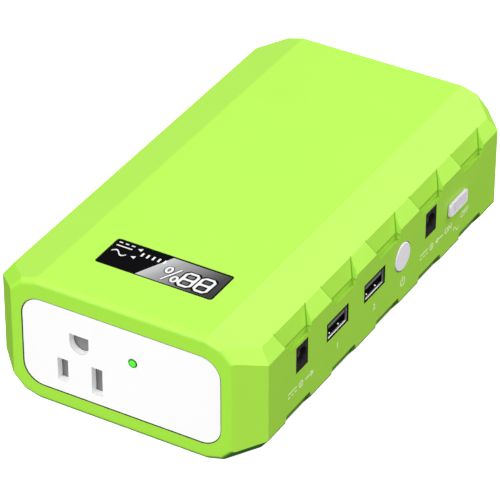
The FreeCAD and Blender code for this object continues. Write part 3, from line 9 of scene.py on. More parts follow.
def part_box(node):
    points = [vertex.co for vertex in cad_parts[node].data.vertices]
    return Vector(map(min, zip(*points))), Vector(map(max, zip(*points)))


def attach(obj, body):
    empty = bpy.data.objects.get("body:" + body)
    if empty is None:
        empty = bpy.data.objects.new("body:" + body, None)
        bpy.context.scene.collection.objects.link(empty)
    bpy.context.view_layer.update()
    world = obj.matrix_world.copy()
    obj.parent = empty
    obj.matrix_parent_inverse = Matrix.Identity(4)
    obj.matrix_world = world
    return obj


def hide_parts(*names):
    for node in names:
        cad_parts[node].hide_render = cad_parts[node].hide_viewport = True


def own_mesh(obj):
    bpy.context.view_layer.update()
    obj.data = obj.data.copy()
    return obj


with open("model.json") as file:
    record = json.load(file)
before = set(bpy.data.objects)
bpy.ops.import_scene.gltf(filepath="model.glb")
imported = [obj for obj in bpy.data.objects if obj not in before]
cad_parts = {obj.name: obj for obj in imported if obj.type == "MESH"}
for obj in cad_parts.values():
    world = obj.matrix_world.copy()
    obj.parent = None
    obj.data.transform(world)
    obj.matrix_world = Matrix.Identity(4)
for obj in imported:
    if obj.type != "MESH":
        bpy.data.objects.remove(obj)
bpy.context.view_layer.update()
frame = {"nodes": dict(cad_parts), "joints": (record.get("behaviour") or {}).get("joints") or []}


# ---------------------------------------------------------------- housing
# Two shells moulded in lime ABS with a fine spark-eroded grain. They part level just under the
# ports, and four screws from below pull them together.
MM = 0.001
CASE = "power_station_case"
nodes = frame["nodes"]


class Term:
    """A number in a material's node tree, which Python's operators turn into Math nodes."""

    def __init__(self, tree, socket):
        self.tree, self.socket = tree, socket

    def maths(self, operation, *terms):
        node = self.tree.nodes.new("ShaderNodeMath")
        node.operation = operation
        for place, term in zip(node.inputs, terms):
            if isinstance(term, Term):
                self.tree.links.new(term.socket, place)
            else:
                place.default_value = term
        return Term(self.tree, node.outputs[0])

    def __add__(self, other):
        return self.maths("ADD", self, other)

    def __sub__(self, other):
        return self.maths("SUBTRACT", self, other)

    def __rsub__(self, other):
        return self.maths("SUBTRACT", other, self)

    def __mul__(self, other):
        return self.maths("MULTIPLY", self, other)

    def __truediv__(self, other):
        return self.maths("DIVIDE", self, other)

    def __gt__(self, other):
        return self.maths("GREATER_THAN", self, other)

    def __lt__(self, other):
        return self.maths("LESS_THAN", self, other)

    def __abs__(self):
        return self.maths("ABSOLUTE", self)

    def root(self):
        return self.maths("SQRT", self)

    def within(self, step):
        """How far past a whole number of steps."""
        return self.maths("FLOORED_MODULO", self, step)

    def sine(self):
        return self.maths("SINE", self)

    def limited(self):
        """The number kept between 0 and 1."""
        return self.maths("MINIMUM", self.maths("MAXIMUM", self, 0.0), 1.0)

    __radd__ = __add__
    __rmul__ = __mul__


class Finish:
    """A material in the making. Constants go straight on the shader's own sockets."""

    def __init__(self, name, **constants):
        self.material = bpy.data.materials.new(name)
        self.material.use_nodes = True
        self.tree = self.material.node_tree
        self.shader = self.tree.nodes["Principled BSDF"]
        for socket, value in constants.items():
            self.set(self.shader, socket.replace("_", " "), value)

    def set(self, node, socket, value):
        """Links a term or an output to a socket, or writes a plain value in it."""
        if isinstance(value, Term):
            value = value.socket
        if isinstance(value, bpy.types.NodeSocket):
            self.tree.links.new(value, node.inputs[socket])
        else:
            node.inputs[socket].default_value = value

    def node(self, kind, settings=(), **sockets):
        """Adds a node: its settings first, then its sockets, and gives back its outputs."""
        node = self.tree.nodes.new("ShaderNode" + kind)
        for name, value in dict(settings).items():
            setattr(node, name, value)
        for socket, value in sockets.items():
            self.set(node, socket.replace("_", " "), value)
        return node.outputs

    def place(self):
        """The point on the object, in metres, as a vector and as three terms."""
        point = self.node("TexCoord")["Object"]
        return point, [Term(self.tree, out) for out in self.node("SeparateXYZ", Vector=point)]

    def grain(self, per_metre, detail=2.0, stretch=(1, 1, 1)):
        """Cloudy noise from 0 to 1, with so many grains in a metre."""
        point, _ = self.place()
        if tuple(stretch) != (1, 1, 1):
            point = self.node("VectorMath", {"operation": "MULTIPLY"}, Vector=point)
            point[0].node.inputs[1].default_value = stretch
            point = point[0]
        noise = self.node("TexNoise", Vector=point, Scale=per_metre, Detail=detail)
        return Term(self.tree, noise["Fac"])

    def blend(self, amount, low, high):
        """A colour between two colours."""
        mixed = self.node("Mix", {"data_type": "RGBA"})
        mixer = mixed[0].node
        self.set(mixer, 0, amount)
        for socket, colour in ((6, low), (7, high)):
            self.set(mixer, socket, (*colour, 1) if isinstance(colour, tuple) else colour)
        return mixed[2]

    def surface(self, **varying):
        """Feeds the shader's sockets with what changes over the surface."""
        for socket, value in varying.items():
            self.set(self.shader, socket.replace("_", " "), value)

    def relief(self, height, depth, strength=1.0):
        """Raises and lowers the surface by a height from 0 to 1 times a depth in metres."""
        bump = self.node("Bump", Height=height, Distance=depth, Strength=strength)
        self.surface(Normal=bump["Normal"])

    def on(self, *names):
        """Puts the finish on CAD nodes."""
        for name in names:
            for slot in nodes[name].material_slots:
                slot.material = self.material
        return self


CLOUDS = 38
GLOSS_PATCHES = 160
GLOSS_SPREAD = 0.04
GRAIN_STRENGTH = 0.35


def moulded(name, colour, shade, rough, grains=2600, depth=0.012):
    """Moulded plastic: two near tones in soft clouds, an uneven gloss and a fine grain."""
    finish = Finish(name, IOR=1.48)
    clouds = finish.grain(CLOUDS, 1.0)
    fine = finish.grain(grains)
    finish.surface(Base_Color=finish.blend(clouds, shade, colour),
                   Roughness=rough - GLOSS_SPREAD / 2 + GLOSS_SPREAD * finish.grain(GLOSS_PATCHES))
    finish.relief(fine, depth * MM, GRAIN_STRENGTH)
    return finish


lime = moulded("lime_shell", (0.385, 0.742, 0.062), (0.366, 0.708, 0.057), 0.46)
lime.on("upper_housing", "lower_housing")

# Painted shade: the lime is painted a deeper tone where shade falls, on the facets that face down,
# ahead and to the left, along the lowest edge of the walls as a painted shadow line, in the low
# recess of each grip notch, along its corners, and inside the openings.
FRONT_PAINTED_SHADING = (0.335, 0.705, 0.049)
LEFT_PAINTED_SHADING = (0.360, 0.780, 0.048)
CORNER_PAINTED_SHADE = (0.300, 0.600, 0.042)
WALL_FOOT_PAINTED_SHADOW = (0.040, 0.130, 0.008)
RECESS_PAINTED_SHADE = (0.330, 0.610, 0.048)
CREASE_PAINTED_SHADE = (0.215, 0.450, 0.022)
UNDERSIDE_PAINTED_SHADE = (0.035, 0.200, 0.008)
OPENING_PAINTED_SHADE = (0.006, 0.012, 0.004)
FACES_AHEAD = -0.8
FACES_LEFT = -0.3
FACES_BOTH = -0.5
UPRIGHT = 0.1
UNDER_FROM = -0.12
UNDER_FADE = 3
FLAT_BOTTOM = -0.97
NOTCH_PITCH = 29.4 * MM
NOTCHED_REACH = 2.4 * NOTCH_PITCH
NOTCH_HALF = 9.6 * MM
NOTCH_END_SLOPE = 0.32
PAD_TOP = (45.1 * MM, 42.4 * MM)
PAD_SLOPE = 3.5 / 4.75
NOTCH_FOLD = (47.0 * MM, 36.0 * MM)
NOTCH_FOOT = 33.6 * MM
FOLD_MARGIN = (0.5 * MM, 0.1 * MM)
CREASE = 0.3 * MM
WALL_FOOT = 9.15 * MM
WALL_MARGIN = 0.1 * MM
BORE_HEIGHT = 26.1 * MM
BORE_RADIUS = 5.38 * MM
OPENING_GAP = 0.5 * MM
_, (x, y, z) = lime.place()
normal = lime.node("SeparateXYZ", Vector=lime.node("TexCoord")["Normal"])
aside, ahead, facing = (Term(lime.tree, normal[axis]) for axis in "XYZ")
under = ((UNDER_FROM - facing) * UNDER_FADE).limited() * (facing > FLAT_BOTTOM)
left_corner = (aside < FACES_BOTH) * (ahead < FACES_BOTH) * (abs(facing) < UPRIGHT)
out = abs(x)
half_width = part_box("upper_housing")[1].x
inside_wall = half_width - 0.03 * MM
edge = (z < WALL_FOOT) * (out > half_width - WALL_MARGIN)

# each notch repeats along the case, and its ends lean together towards the foot
notched = abs(y) < NOTCHED_REACH
recess = (z < NOTCH_FOLD[1] + FOLD_MARGIN[1]) * (z > NOTCH_FOOT) * notched
recess = recess * (out > NOTCH_FOLD[0] - FOLD_MARGIN[0]) * (out < inside_wall)
along = (y + NOTCH_PITCH / 2).within(NOTCH_PITCH) - NOTCH_PITCH / 2
end = NOTCH_HALF - NOTCH_END_SLOPE * (PAD_TOP[1] - z)
at_end = abs(abs(along) - end) < CREASE
at_front_end = abs(along + end) < CREASE
floor_slope = (NOTCH_FOLD[0] - PAD_TOP[0]) / (PAD_TOP[1] - NOTCH_FOLD[1])
near_floor = abs(out - PAD_TOP[0] - floor_slope * (PAD_TOP[1] - z)) < CREASE
near_pad = abs(out - PAD_TOP[0] - PAD_SLOPE * (PAD_TOP[1] - z)) < CREASE
at_fold = (abs(z - NOTCH_FOLD[1]) < CREASE) * (out > NOTCH_FOLD[0] - CREASE) * (out < inside_wall)
crease = (at_end * near_floor + at_front_end * near_pad + at_fold) * (z > NOTCH_FOOT) * notched

# painted shade, near black, inside the wall: the button's round bore, and the openings of the jacks and
# ports
button_low, button_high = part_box("power_button")
bore_y = (button_low.y + button_high.y) / 2
from_bore = (y - bore_y) * (y - bore_y) + (z - BORE_HEIGHT) * (z - BORE_HEIGHT)
opening = from_bore.root() < BORE_RADIUS
for port in ("output_jack", "input_jack", "usb_shell_1", "usb_shell_2"):
    low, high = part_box(port)
    half = (high - low) / 2
    opening += ((abs(y - (low.y + high.y) / 2) < half.y + OPENING_GAP)
                * (abs(z - (low.z + high.z) / 2) < half.z + OPENING_GAP))
opening = opening * (x > PAD_TOP[0]) * (x < inside_wall)
# the lime's own clouded tone, with each mask's painted shade laid over it in turn
tone = lime.shader.inputs["Base Color"].links[0].from_socket
for amount, colour in ((ahead < FACES_AHEAD, FRONT_PAINTED_SHADING), (aside < FACES_LEFT, LEFT_PAINTED_SHADING),
                       (left_corner, CORNER_PAINTED_SHADE), (edge, WALL_FOOT_PAINTED_SHADOW), (recess, RECESS_PAINTED_SHADE),
                       (crease, CREASE_PAINTED_SHADE), (under, UNDERSIDE_PAINTED_SHADE), (opening, OPENING_PAINTED_SHADE)):
    tone = lime.blend(amount, tone, colour)
lime.surface(Base_Color=tone)


# ---------------------------------------------------------------- screw plugs
# Soft lime plugs, a shade duller than the housing. They are moulded in rubber and pressed into
# the four screw wells under it.
plug_finish = moulded("screw_plug_rubber", (0.33, 0.70, 0.05), (0.28, 0.60, 0.045), 0.72, 1800)
plug_finish.on("screw_plugs")


# ---------------------------------------------------------------- outlet panel
# A white face plate with the three pin holes of a grounded outlet. A grey shutter stands just
# behind them, and the insulating block behind holds the brass contacts.
panel_white = moulded("panel_white", (0.90, 0.90, 0.90), (0.87, 0.87, 0.875), 0.34, 3200, 0.006)
HOLE_EDGE = 0.3 * MM
HOLE_PAINTED_LIGHT = (0.14, 0.14, 0.14)
_, (x, y, z) = panel_white.place()
# inside the pin holes the plate gives off a faint painted light that lifts the shade on their walls
within_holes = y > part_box("outlet_panel")[0].y + HOLE_EDGE
panel_white.surface(Emission_Color=panel_white.blend(within_holes, (0.0, 0.0, 0.0), HOLE_PAINTED_LIGHT),
                    Emission_Strength=1.0)
panel_white.on("outlet_panel", "outlet_body", "outlet_cover")
shutter_grey = moulded("shutter_grey", (0.180, 0.180, 0.185), (0.150, 0.150, 0.155), 0.5)
shutter_grey.on("safety_shutter")


METAL_LINES = 900
METAL_DETAIL = 3.0
METAL_GLOSS_SPREAD = 0.12
METAL_RELIEF = 0.004 * MM
METAL_STRENGTH = 0.3


def metal(name, colour, shade, rough, along=(1, 1, 1)):
    """Bare metal with a drawn or rolled direction: fine lines in its tone and its gloss."""
    finish = Finish(name, Metallic=1.0)
    streaks = finish.grain(METAL_LINES, METAL_DETAIL, along)
    finish.surface(Base_Color=finish.blend(streaks, shade, colour),
                   Roughness=rough - METAL_GLOSS_SPREAD / 2 + METAL_GLOSS_SPREAD * streaks)
    finish.relief(streaks, METAL_RELIEF, METAL_STRENGTH)
    return finish


brass = metal("rolled_brass", (0.80, 0.58, 0.25), (0.66, 0.45, 0.17), 0.30, (1, 0.1, 1))
brass.on("hot_contact", "neutral_contact", "ground_contact")
steel = metal("plated_steel", (0.62, 0.62, 0.62), (0.48, 0.48, 0.49), 0.34)
steel.on("case_screws", "outlet_screws", "board_screws", "shutter_spring", "ac_switch_body")


# ---------------------------------------------------------------- shutter spring
# The coil spring behind the shutter gets shorter as the shutter slides. A copy of it, tied to the
# case, stands in for the rigid solid, which is hidden.
SHUTTER_JOINT = "shutter_slide"
spring_low, spring_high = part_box("shutter_spring")
travel = next(joint["range_m"][1] for joint in frame["joints"] if joint["name"] == SHUTTER_JOINT)
spring_length = spring_high.x - spring_low.x
closing_spring = bpy.data.objects.new("closing_spring", nodes["shutter_spring"].data.copy())
bpy.context.collection.objects.link(closing_spring)
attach(closing_spring, CASE)
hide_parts("shutter_spring")
(spring_length - travel) / spring_length
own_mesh(closing_spring)


# ---------------------------------------------------------------- indicator lamp
# A green lens in clear acrylic, pressed into the panel. A small epoxy lamp on its own board
# lights it from behind, so its middle glows and its rim stays dark.
LENS_RADIUS = 1.6 * MM
GLOW_RIM = 0.85
GLOW_FADE = 4
lens_green = Finish("lens_green", Roughness=0.22, IOR=1.5, Emission_Strength=0.55)
_, (x, y, z) = lens_green.place()
lens_low, lens_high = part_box("indicator_lens")
lens_centre = (lens_low + lens_high) / 2
aside, above = x - lens_centre.x, z - lens_centre.z
off_centre = (aside * aside + above * above).root() / LENS_RADIUS
glow = ((GLOW_RIM - off_centre) * GLOW_FADE).limited()
lens_green.surface(Base_Color=lens_green.blend(glow, (0.005, 0.10, 0.005), (0.06, 0.55, 0.03)),
                   Emission_Color=lens_green.blend(glow, (0.0, 0.03, 0.0), (0.10, 0.95, 0.03)))
lens_green.on("indicator_lens")
lamp_clear = moulded("lamp_epoxy", (0.60, 0.75, 0.60), (0.52, 0.68, 0.52), 0.15, 900, 0.002)
lamp_clear.on("indicator_led")


# ---------------------------------------------------------------- display window
# A polished window flush in the top. It is black on one side of a slanted line, and on the other
# it fades from pale to dark grey, inside a thin black edge. It is read from the rear.
WINDOW_FLANGE = 1.2 * MM
WINDOW_EDGE = 0.55 * MM
SPLIT_AT_REAR = 0.5 * MM
SPLIT_AT_FRONT = -6.2 * MM
window_low, window_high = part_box("display_window")
window_x = (window_low.x + WINDOW_FLANGE, window_high.x - WINDOW_FLANGE)
window_y = (window_low.y + WINDOW_FLANGE, window_high.y - WINDOW_FLANGE)
window_face = window_high.z

window = Finish("display_window", Roughness=0.1, IOR=1.4, Specular_IOR_Level=0.03)
_, (x, y, z) = window.place()
split_slope = (SPLIT_AT_REAR - SPLIT_AT_FRONT) / (window_y[1] - window_y[0])
split = SPLIT_AT_FRONT + split_slope * (y - window_y[0])
across = (x - split) / (window_x[1] - SPLIT_AT_FRONT)
fade = window.node("ValToRGB", Fac=across)
stops = fade[0].node.color_ramp.elements
stops[0].color = (0.46, 0.46, 0.48, 1)
stops[1].position = 0.93
stops[1].color = (0.035, 0.036, 0.037, 1)
for position, level in ((0.17, 0.30), (0.33, 0.225), (0.47, 0.155), (0.62, 0.085), (0.74, 0.05)):
    stop = stops.new(position)
    stop.color = (level, level, level * 1.02, 1)
middle = (sum(window_x) / 2, sum(window_y) / 2)
half_x = (window_x[1] - window_x[0]) / 2 - WINDOW_EDGE
half_y = (window_y[1] - window_y[0]) / 2 - WINDOW_EDGE
lit = (x > split) * (abs(x - middle[0]) < half_x) * (abs(y - middle[1]) < half_y)
window.surface(Base_Color=window.blend(lit, (0.002, 0.002, 0.003), fade["Color"]))
window.on("display_window")

# Its signs are lit from below: two figures with a percent sign, a row of level bars, and two
# pointers beside a wave and a pair of bars for the two kinds of supply. They lie on the window.
SIGN_THICKNESS = 0.03 * MM
lit_white = Finish("lit_white", Roughness=0.5, Emission_Strength=0.3)
lit_white.surface(Base_Color=lit_white.blend(lit_white.grain(900), (0.46, 0.46, 0.46), (0.50, 0.50, 0.50)),
                  Emission_Color=lit_white.blend(lit_white.grain(900), (0.9, 0.9, 0.9), (1.0, 1.0, 1.0)))
sign_black = Finish("sign_black", Roughness=0.4, Specular_IOR_Level=0.03)
sign_black.surface(Base_Color=sign_black.blend(sign_black.grain(900), (0.003, 0.003, 0.004),
                                               (0.005, 0.005, 0.006)))


def chamfered(centre, width, height, cut):
    """The corner points of a rectangle with its corners cut off."""
    (cx, cy), a, b = centre, width / 2, height / 2
    corners = [(a, -b + cut), (a, b - cut), (a - cut, b), (-a + cut, b),
               (-a, b - cut), (-a, -b + cut), (-a + cut, -b), (a - cut, -b)]
    return [(cx + px, cy + py) for px, py in corners]


def flat_sign(name, outlines, finish, matrix, thickness=SIGN_THICKNESS):
    """A thin plate on closed outlines in millimetres, with holes where outlines nest."""
    curve = bpy.data.curves.new(name, "CURVE")
    curve.dimensions, curve.fill_mode = "2D", "BOTH"
    for outline in outlines:
        spline = curve.splines.new("POLY")
        spline.points.add(len(outline) - 1)
        for point, (px, py) in zip(spline.points, outline):
            point.co = (px * MM, py * MM, 0, 1)
        spline.use_cyclic_u = True
    curve.extrude = thickness / 2
    return sign_mesh(name, curve, finish, matrix)


def sign_mesh(name, curve, finish, matrix):
    """The plain mesh of a flat curve or of letters, put in its place on the case."""
    drawn = bpy.data.objects.new(name + "_drawn", curve)
    bpy.context.collection.objects.link(drawn)
    view = bpy.context.evaluated_depsgraph_get()
    mesh = bpy.data.meshes.new_from_object(drawn.evaluated_get(view))
    bpy.data.objects.remove(drawn)
    mesh.name = name
    mesh.transform(matrix)
    mesh.materials.clear()
    mesh.materials.append(finish.material)
    sign = bpy.data.objects.new(name, mesh)
    bpy.context.collection.objects.link(sign)
    return sign


# on the display, a sign's right points to -X and its top to -Y
ON_DISPLAY = Matrix(((-1, 0, 0, 0), (0, -1, 0, 0), (0, 0, 1, 0), (0, 0, 0, 1)))
FIGURE_SIZE = (5.3, 8.0)
FIGURE_STROKE = 0.98
FIGURE_LEAN = 0.05
FIGURE_CUT = 1.3
FIGURE_HOLE_CUT = 0.4
FIGURE_EDGE = 0.55
FIGURE_AT = ((-16.3, 61.5), (-10.45, 61.5))
PERCENT_RING = (2.7, 3.7)
PERCENT_STROKE = 0.85
PERCENT_EDGE = 0.3
PERCENT_RINGS = ((-2.44, 59.67), (-6.28, 63.28))
PERCENT_SLASH = ((-6.06, 57.8), (-2.44, 65.3))
SLASH_STROKE = 0.7


def figure_eight(centre, grow):
    """The outlines of a figure 8 whose stroke is widened on each side by grow."""
    (cx, cy), (wide, tall) = centre, FIGURE_SIZE
    hole_wide = wide - 2 * FIGURE_STROKE - 2 * grow
    hole_tall = (tall - 3 * FIGURE_STROKE) / 2 - 2 * grow
    rise = (hole_tall + 2 * grow + FIGURE_STROKE) / 2
    holes = [chamfered((cx, cy + side * rise), hole_wide, hole_tall, FIGURE_HOLE_CUT)
             for side in (-1, 1)]
    upright = [chamfered(centre, wide + 2 * grow, tall + 2 * grow, FIGURE_CUT)] + holes
    return [[(px + FIGURE_LEAN * (py - cy), py) for px, py in outline] for outline in upright]


def slash(a, b, width):
    """A straight stroke from a to b."""
    along = Vector((b[0] - a[0], b[1] - a[1])).normalized()
    off = Vector((-along.y, along.x)) * width / 2
    return [(a[0] + off.x, a[1] + off.y), (b[0] + off.x, b[1] + off.y),
            (b[0] - off.x, b[1] - off.y), (a[0] - off.x, a[1] - off.y)]


def oval(centre, wide, tall, sides=32):
    """The points of an upright oval."""
    turn = [2 * math.pi * i / sides for i in range(sides)]
    return [(centre[0] + wide / 2 * math.cos(t), centre[1] + tall / 2 * math.sin(t)) for t in turn]


def percent_ring(centre, grow):
    """A small ring of the percent sign, whose stroke is widened on each side by grow."""
    wide, tall = PERCENT_RING
    inner = -2 * PERCENT_STROKE - 2 * grow
    return [oval(centre, wide + 2 * grow, tall + 2 * grow), oval(centre, wide + inner, tall + inner)]


def on_window(step):
    """The place of the window's signs, some steps of a sign's thickness above its face."""
    return Matrix.Translation((0, 0, window_face + (step + 0.5) * SIGN_THICKNESS)) @ ON_DISPLAY


def window_sign(name, outlines, finish, step=0):
    """A sign on the window, tied to the case."""
    sign = flat_sign(name, outlines, finish, on_window(step))
    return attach(sign, CASE)


BORDER_REACH = 0.3
border_x = [value / MM for value in (-window_x[1], -window_x[0])]
border_y = [value / MM for value in (-window_y[1], -window_y[0])]
border = [[(border_x[0] - g, border_y[0] - g), (border_x[1] + g, border_y[0] - g),
           (border_x[1] + g, border_y[1] + g), (border_x[0] - g, border_y[1] + g)]
          for g in (BORDER_REACH, -BORDER_REACH)]
window_sign("window_border", border, sign_black)
for number, centre in enumerate(FIGURE_AT):
    window_sign("figure_edge_%d" % number, figure_eight(centre, FIGURE_EDGE), sign_black)
    window_sign("figure_%d" % number, figure_eight(centre, 0.0), lit_white, 1)
for number, centre in enumerate(PERCENT_RINGS):
    window_sign("percent_ring_edge_%d" % number, percent_ring(centre, PERCENT_EDGE), sign_black)
    window_sign("percent_ring_%d" % number, percent_ring(centre, 0.0), lit_white, 1)
window_sign("percent_slash_edge", [slash(*PERCENT_SLASH, SLASH_STROKE + 2 * PERCENT_EDGE)], sign_black)
window_sign("percent_slash", [slash(*PERCENT_SLASH, SLASH_STROKE)], lit_white, 1)

POINTER_AT = ((11.3, 54.8), (11.3, 59.35))
POINTER_SIZE = 1.6
SUPPLY_CENTRE = 16.4
SUPPLY_WAVE = (5.4, 2.1, 0.6)
SUPPLY_WAVE_AT = 59.45
SUPPLY_BARS_WIDTH = 5.8
SUPPLY_BARS_AT = 55.1
BAR_CUT = 0.08
for number, (px, py) in enumerate(POINTER_AT):
    half = POINTER_SIZE / 2
    window_sign("pointer_%d" % number, [[(px - half, py - half), (px + half, py), (px - half, py + half)]],
                lit_white)


def wave(centre, width, height, stroke, steps=24):
    """One full wave of a thick line, for alternating current."""
    turn = [2 * math.pi * i / steps for i in range(steps + 1)]
    line = [(centre[0] + width * (t / (2 * math.pi) - 0.5), centre[1] + height / 2 * math.sin(t))
            for t in turn]
    return ([(px, py + stroke / 2) for px, py in line]
            + [(px, py - stroke / 2) for px, py in reversed(line)])


def bar(centre, width, height):
    """A plain bar with its corners just broken."""
    return chamfered(centre, width, height, BAR_CUT)


def direct_current(centre, width, rise=0.9, stroke=0.5):
    """A long bar above three short ones, for direct current."""
    cx, cy = centre
    short = width / 4.6
    return [bar((cx, cy + rise), width, stroke)] + [
        bar((cx + step * 1.8 * short, cy - rise), short, stroke) for step in (-1, 0, 1)]


window_sign("supply_wave", [wave((SUPPLY_CENTRE, SUPPLY_WAVE_AT), *SUPPLY_WAVE)], lit_white)
window_sign("supply_bars", direct_current((SUPPLY_CENTRE, SUPPLY_BARS_AT), SUPPLY_BARS_WIDTH), lit_white)


def row_of_boxes(name, count, start, step, size, finish):
    """A straight row of equal boxes, made by a node tree with named inputs and applied."""
    tree = bpy.data.node_groups.new(name + "_row", "GeometryNodeTree")
    sizes = {}
    for label, kind in (("Count", "NodeSocketInt"), ("Start", "NodeSocketVector"),
                        ("Step", "NodeSocketVector"), ("Size", "NodeSocketVector")):
        sizes[label] = tree.interface.new_socket(label, in_out="INPUT", socket_type=kind).identifier
    tree.interface.new_socket("Geometry", in_out="OUTPUT", socket_type="NodeSocketGeometry")
    given, result = tree.nodes.new("NodeGroupInput"), tree.nodes.new("NodeGroupOutput")
    line = tree.nodes.new("GeometryNodeMeshLine")
    box = tree.nodes.new("GeometryNodeMeshCube")
    spread = tree.nodes.new("GeometryNodeInstanceOnPoints")
    realised = tree.nodes.new("GeometryNodeRealizeInstances")
    painted = tree.nodes.new("GeometryNodeSetMaterial")
    painted.inputs["Material"].default_value = finish.material
    for start_node, output, end_node, socket in (
            (given, "Count", line, "Count"), (given, "Start", line, "Start Location"),
            (given, "Step", line, "Offset"), (given, "Size", box, "Size"),
            (line, "Mesh", spread, "Points"), (box, "Mesh", spread, "Instance"),
            (spread, "Instances", realised, "Geometry"), (realised, "Geometry", painted, "Geometry"),
            (painted, "Geometry", result, "Geometry")):
        tree.links.new(start_node.outputs[output], end_node.inputs[socket])
    row = bpy.data.objects.new(name, bpy.data.meshes.new(name))
    bpy.context.collection.objects.link(row)
    made = row.modifiers.new("row", "NODES")
    made.node_group = tree
    for label, value in (("Count", count), ("Start", start), ("Step", step), ("Size", size)):
        made[sizes[label]] = value
    mesh = bpy.data.meshes.new_from_object(row.evaluated_get(bpy.context.evaluated_depsgraph_get()))
    row.modifiers.clear()
    row.data = mesh
    return row


LEVEL_BARS = 5
LEVEL_STEP = 2.05 * MM
LEVEL_SIZE = (0.7 * MM, 1.9 * MM, SIGN_THICKNESS)
LEVEL_START = (-9.2 * MM, -56.8 * MM, window_face + SIGN_THICKNESS / 2)
level_bars = row_of_boxes("level_bars", LEVEL_BARS, LEVEL_START, (LEVEL_STEP, 0, 0), LEVEL_SIZE, lit_white)
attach(level_bars, CASE)
module_white = moulded("display_module", (0.75, 0.76, 0.74), (0.70, 0.71, 0.69), 0.5)
module_white.on("display_module")


# ---------------------------------------------------------------- USB ports
# Folded steel shells with a grey tongue under the roof, painted near black behind their bright lips
# and along their top edge as painted shade; the bright lip is partly a painted highlight.
# Four gold contacts lie on the tongue's underside, and two spring dimples on the floor hold a plug.
LIP_DEPTH = 0.72 * MM
usb_steel = Finish("usb_steel", Metallic=0.85)
_, (x, y, z) = usb_steel.place()
shell_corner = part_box("usb_shell_1")[1]
# lip: the bright front edge of the sheet; behind it and along the top edge the steel is painted near black
# as shade
lip = (x > shell_corner.x - LIP_DEPTH) * (z < shell_corner.z - LIP_DEPTH)
streaks = usb_steel.grain(METAL_LINES, METAL_DETAIL)
bright = usb_steel.blend(streaks, (0.88, 0.89, 0.88), (0.97, 0.97, 0.97))
usb_steel.surface(Base_Color=usb_steel.blend(lip, (0.035, 0.037, 0.036), bright),
                  Roughness=0.28 + METAL_GLOSS_SPREAD * streaks)
usb_steel.relief(streaks, METAL_RELIEF, METAL_STRENGTH)
usb_steel.on("usb_shell_1", "usb_shell_2")
tongue_grey = moulded("usb_tongue", (0.18, 0.19, 0.18), (0.15, 0.16, 0.15), 0.5)
tongue_grey.on("usb_tongue_1", "usb_tongue_2")
gold = metal("contact_gold", (0.83, 0.62, 0.27), (0.74, 0.52, 0.20), 0.25)

CONTACTS = 4
CONTACT_SIZE = Vector((7.5, 1.1, 0.12)) * MM
CONTACT_PITCH = 2.4 * MM
CONTACT_SETBACK = 0.6 * MM
TONGUE_UNDER_ROOF = 2.24 * MM
SHELL_SHEET = 0.35 * MM
DIMPLE_RADIUS = 0.5 * MM
DIMPLE_HEIGHT = 0.35 * MM
DIMPLE_SPREAD = 2.9 * MM
DIMPLE_SETBACK = 1.5 * MM
spring_steel = metal("spring_steel", (0.90, 0.90, 0.90), (0.78, 0.78, 0.79), 0.30)


def dimple(name, centre, radius, height, finish, rings=6, sides=20):
    """A low round dome that stands on a level floor."""
    shape = bmesh.new()
    circles = []
    for ring in range(rings):
        lean = math.pi / 2 * ring / rings
        r, h = radius * math.cos(lean), height * math.sin(lean)
        circles.append([shape.verts.new(centre + Vector((r * math.cos(a), r * math.sin(a), h)))
                        for a in (2 * math.pi * i / sides for i in range(sides))])
    tip = shape.verts.new(centre + Vector((0, 0, height)))
    for low, high in zip(circles, circles[1:]):
        for i in range(sides):
            j = (i + 1) % sides
            shape.faces.new((low[i], low[j], high[j], high[i]))
    for i in range(sides):
        shape.faces.new((circles[-1][i], circles[-1][(i + 1) % sides], tip))
    shape.faces.new(list(reversed(circles[0])))
    mesh = bpy.data.meshes.new(name)
    shape.to_mesh(mesh)
    shape.free()
    mesh.materials.append(finish.material)
    for face in mesh.polygons:
        face.use_smooth = True
    made = bpy.data.objects.new(name, mesh)
    bpy.context.collection.objects.link(made)
    return made


for port in (1, 2):
    tongue_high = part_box("usb_tongue_%d" % port)[1]
    shell_low, shell_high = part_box("usb_shell_%d" % port)
    port_y = (shell_low.y + shell_high.y) / 2
    under = shell_high.z - SHELL_SHEET - TONGUE_UNDER_ROOF - CONTACT_SIZE.z / 2
    start = (tongue_high.x - CONTACT_SETBACK - CONTACT_SIZE.x / 2,
             port_y - (CONTACTS - 1) / 2 * CONTACT_PITCH, under)
    contacts = row_of_boxes("usb_contacts_%d" % port, CONTACTS, start, (0, CONTACT_PITCH, 0),
                            CONTACT_SIZE, gold)
    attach(contacts, CASE)
    for side in (-1, 1):
        floor_point = Vector((shell_high.x - DIMPLE_SETBACK, port_y + side * DIMPLE_SPREAD,
                              shell_low.z + SHELL_SHEET))
        spring = dimple("usb_dimple_%d_%s" % (port, "left" if side < 0 else "right"), floor_point,
                        DIMPLE_RADIUS, DIMPLE_HEIGHT, spring_steel)
        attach(spring, CASE)


# ---------------------------------------------------------------- barrel jacks
# Black moulded bodies that fill their openings in the wall, each with a round socket and a
# plated pin on its axis.
jack_black = moulded("jack_black", (0.020, 0.017, 0.023), (0.013, 0.011, 0.015), 0.5)
jack_black.on("output_jack", "input_jack")
pin_steel = metal("jack_pin", (0.70, 0.69, 0.68), (0.58, 0.57, 0.56), 0.25)
pin_steel.on("output_jack_pin", "input_jack_pin")


# ---------------------------------------------------------------- power button
# A round pale grey cap, moulded and almost level with the side wall. Its plunger rests on a
# small push switch on the port board.
button_grey = moulded("button_grey", (0.90, 0.88, 0.93), (0.87, 0.85, 0.90), 0.4, 3000, 0.006)
button_grey.on("power_button")
switch_black = moulded("switch_black", (0.030, 0.030, 0.032), (0.022, 0.022, 0.024), 0.5)
switch_black.on("button_plunger", "tactile_switch", "ac_switch_lever", "port_board_chips",
                "inverter_chips", "power_transistors", "front_cell_holder", "rear_cell_holder",
                "transformer_bobbin")
